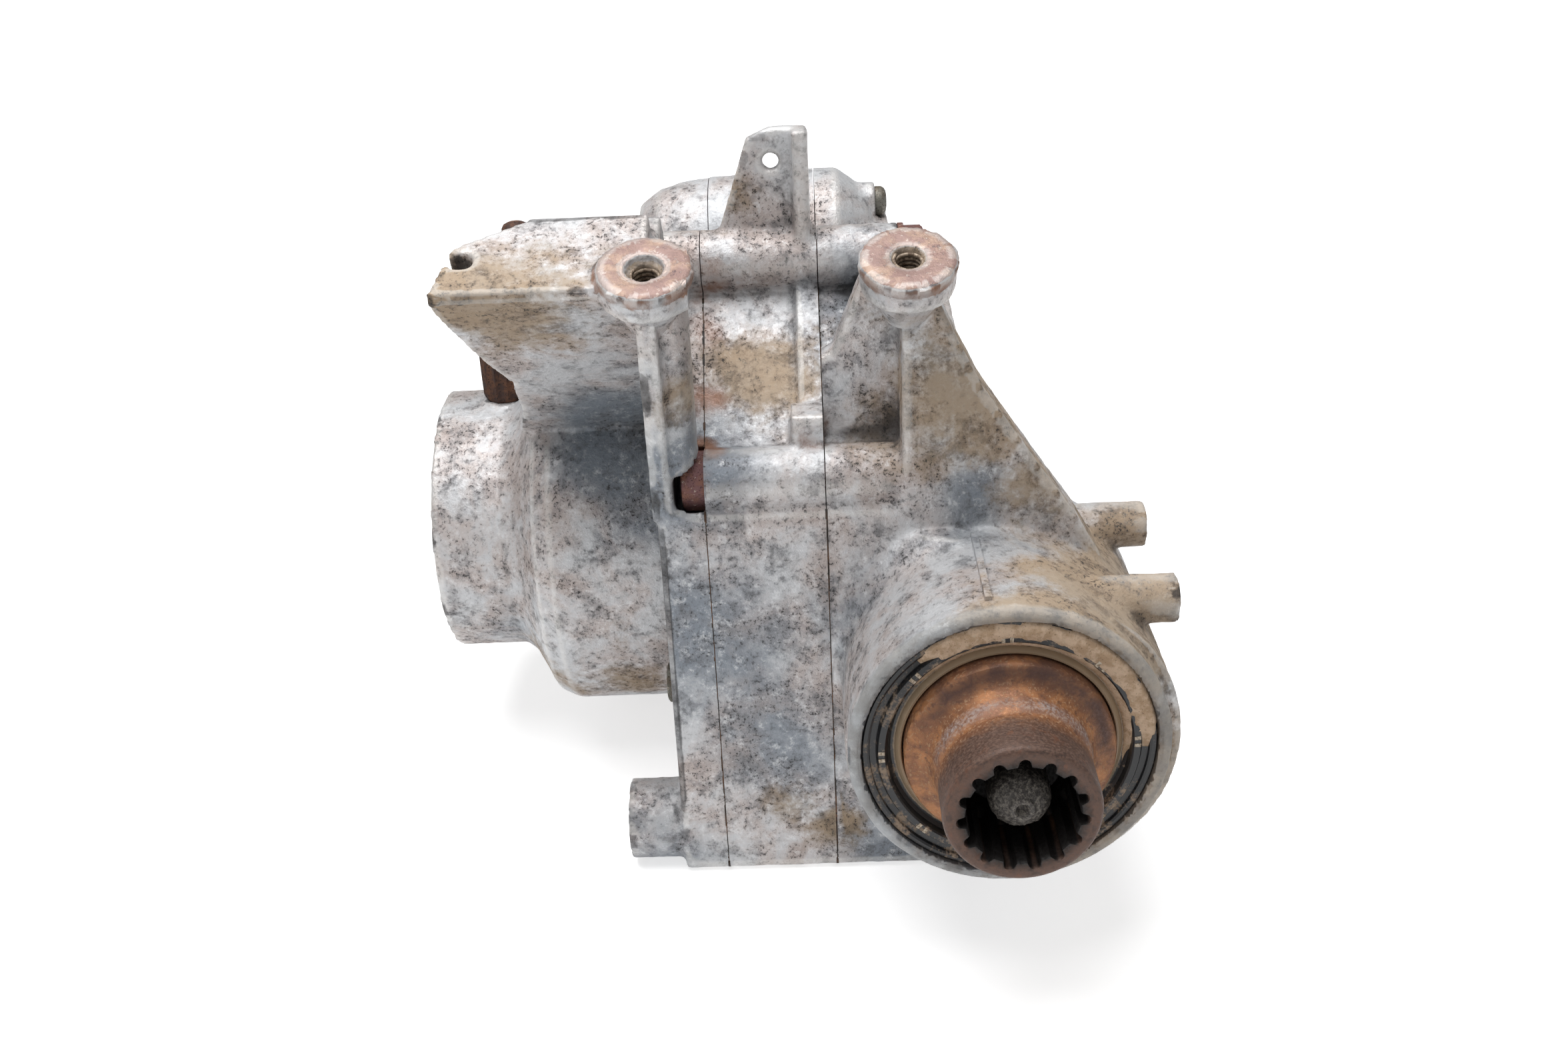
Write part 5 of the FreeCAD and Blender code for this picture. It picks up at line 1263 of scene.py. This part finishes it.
class BuildStage(bpy.types.Operator):
    """Floor, soft lamps, room light and the camera of the photograph"""
    bl_idname = "differential.stage"
    bl_label = "Stage"

    def execute(self, context):
        look = context.scene.diff_stage
        self.floor()
        self.room(look.sky)
        self.softbox("overhead", (-0.15, -0.1, 0.75), (-0.05, -0.02, 0.0), 0.7, look.lamp)
        self.softbox("front", (-0.5, -0.9, 0.35), (-0.05, -0.05, 0.0), 0.6, look.fill)
        self.camera(look.lens)
        context.scene.view_settings.view_transform = "Standard"
        return {"FINISHED"}

    def floor(self):
        """White paper that glows for the camera, more so away from the object."""
        mesh = bpy.data.meshes.new("floor")
        corners = ((-1, -1), (1, -1), (1, 1), (-1, 1))
        points = [(x * FLOOR_REACH, y * FLOOR_REACH, FLOOR_Z) for x, y in corners]
        mesh.from_pydata(points, [], [(0, 1, 2, 3)])
        floor = linked("floor", mesh)
        paper = bpy.data.materials.new("white_paper")
        paper.use_nodes = True
        tree = paper.node_tree
        base = tree.nodes["Principled BSDF"]
        base.inputs["Base Color"].default_value = (0.8, 0.8, 0.8, 1)
        base.inputs["Roughness"].default_value = 0.9
        base.inputs["Specular IOR Level"].default_value = 0.0
        spot = tree.nodes.new("ShaderNodeTexCoord").outputs["Object"]
        path = tree.nodes.new("ShaderNodeLightPath").outputs
        far = add_node(tree, "ShaderNodeVectorMath", {0: spot}, operation="LENGTH")
        fade = add_node(tree, "ShaderNodeMapRange", {
            "Value": far.outputs["Value"], "From Min": 0.2, "From Max": 0.9, "To Min": 0.6, "To Max": 1.0})
        seen = add_node(tree, "ShaderNodeMath", {
            0: path["Is Camera Ray"], 1: path["Is Glossy Ray"]}, operation="MAXIMUM")
        strength = add_node(tree, "ShaderNodeMath", {
            0: seen.outputs[0], 1: fade.outputs[0]}, operation="MULTIPLY")
        glow = add_node(tree, "ShaderNodeEmission", {"Strength": strength.outputs[0]})
        both = add_node(tree, "ShaderNodeAddShader", {0: base.outputs[0], 1: glow.outputs[0]})
        tree.links.new(both.outputs[0], tree.nodes["Material Output"].inputs["Surface"])
        mesh.materials.append(paper)

    def room(self, sky):
        """Even light from all round, and white where the camera sees past the floor."""
        world = bpy.data.worlds.new("room")
        bpy.context.scene.world = world
        world.use_nodes = True
        tree = world.node_tree
        room = tree.nodes["Background"]
        room.inputs["Color"].default_value = (1, 1, 1, 1)
        room.inputs["Strength"].default_value = sky
        white = add_node(tree, "ShaderNodeBackground", {"Strength": 1.0})
        path = tree.nodes.new("ShaderNodeLightPath").outputs
        swap = add_node(tree, "ShaderNodeMixShader", {
            0: path["Is Camera Ray"], 1: room.outputs[0], 2: white.outputs[0]})
        tree.links.new(swap.outputs[0], tree.nodes["World Output"].inputs["Surface"])

    def camera(self, focal):
        lens = bpy.data.cameras.new("camera")
        lens.sensor_width = 36.0
        lens.lens = focal
        camera = linked("camera", lens)
        side, lift, roll = (math.radians(angle) for angle in (CAMERA_SIDE, CAMERA_LIFT, CAMERA_ROLL))
        ahead = Vector((-math.sin(side) * math.cos(lift), math.cos(side) * math.cos(lift), -math.sin(lift)))
        right = Vector((math.cos(side), math.sin(side), 0.0))
        up = right.cross(ahead)
        turned_right = right * math.cos(roll) - up * math.sin(roll)
        turned_up = up * math.cos(roll) + right * math.sin(roll)
        turn = Matrix((turned_right, turned_up, -ahead)).transposed().to_4x4()
        camera.matrix_world = Matrix.Translation(CAMERA_PLACE) @ turn
        bpy.context.scene.camera = camera

    def softbox(self, name, place, target, width, power):
        lamp = bpy.data.lights.new(name, "AREA")
        lamp.shape = "DISK"
        lamp.size = width
        lamp.energy = power
        item = linked(name, lamp)
        item.location = place
        item.rotation_euler = (Vector(target) - Vector(place)).to_track_quat("-Z", "Y").to_euler()


class DIFFERENTIAL_PT_build(bpy.types.Panel):
    """Sizes and colours of the differential, and the buttons that build it"""
    bl_idname = "DIFFERENTIAL_PT_build"
    bl_label = "Front differential"
    bl_space_type = "VIEW_3D"
    bl_region_type = "UI"
    bl_category = "Differential"

    def draw(self, context):
        for group in SETTINGS:
            box = self.layout.box()
            values = getattr(context.scene, group)
            for name in values.__annotations__:
                box.prop(values, name)
        for operator in OPERATORS:
            self.layout.operator(operator.bl_idname)


SETTINGS = {
    "diff_casting": CastingSettings, "diff_input": InputSettings,
    "diff_fasteners": FastenerSettings, "diff_stage": StageSettings,
}
OPERATORS = (BuildCarriedOver, BuildCastings, BuildInput, BuildFasteners, BuildStage)


def register():
    for group, settings in SETTINGS.items():
        bpy.utils.register_class(settings)
        setattr(bpy.types.Scene, group, bpy.props.PointerProperty(type=settings))
    for operator in OPERATORS:
        bpy.utils.register_class(operator)
    bpy.utils.register_class(DIFFERENTIAL_PT_build)


def unregister():
    bpy.utils.unregister_class(DIFFERENTIAL_PT_build)
    for operator in reversed(OPERATORS):
        bpy.utils.unregister_class(operator)
    for group, settings in reversed(SETTINGS.items()):
        delattr(bpy.types.Scene, group)
        bpy.utils.unregister_class(settings)


def main():
    register()
    for operator in OPERATORS:
        group, name = operator.bl_idname.split(".")
        getattr(getattr(bpy.ops, group), name)()


if __name__ == "__main__":
    main()
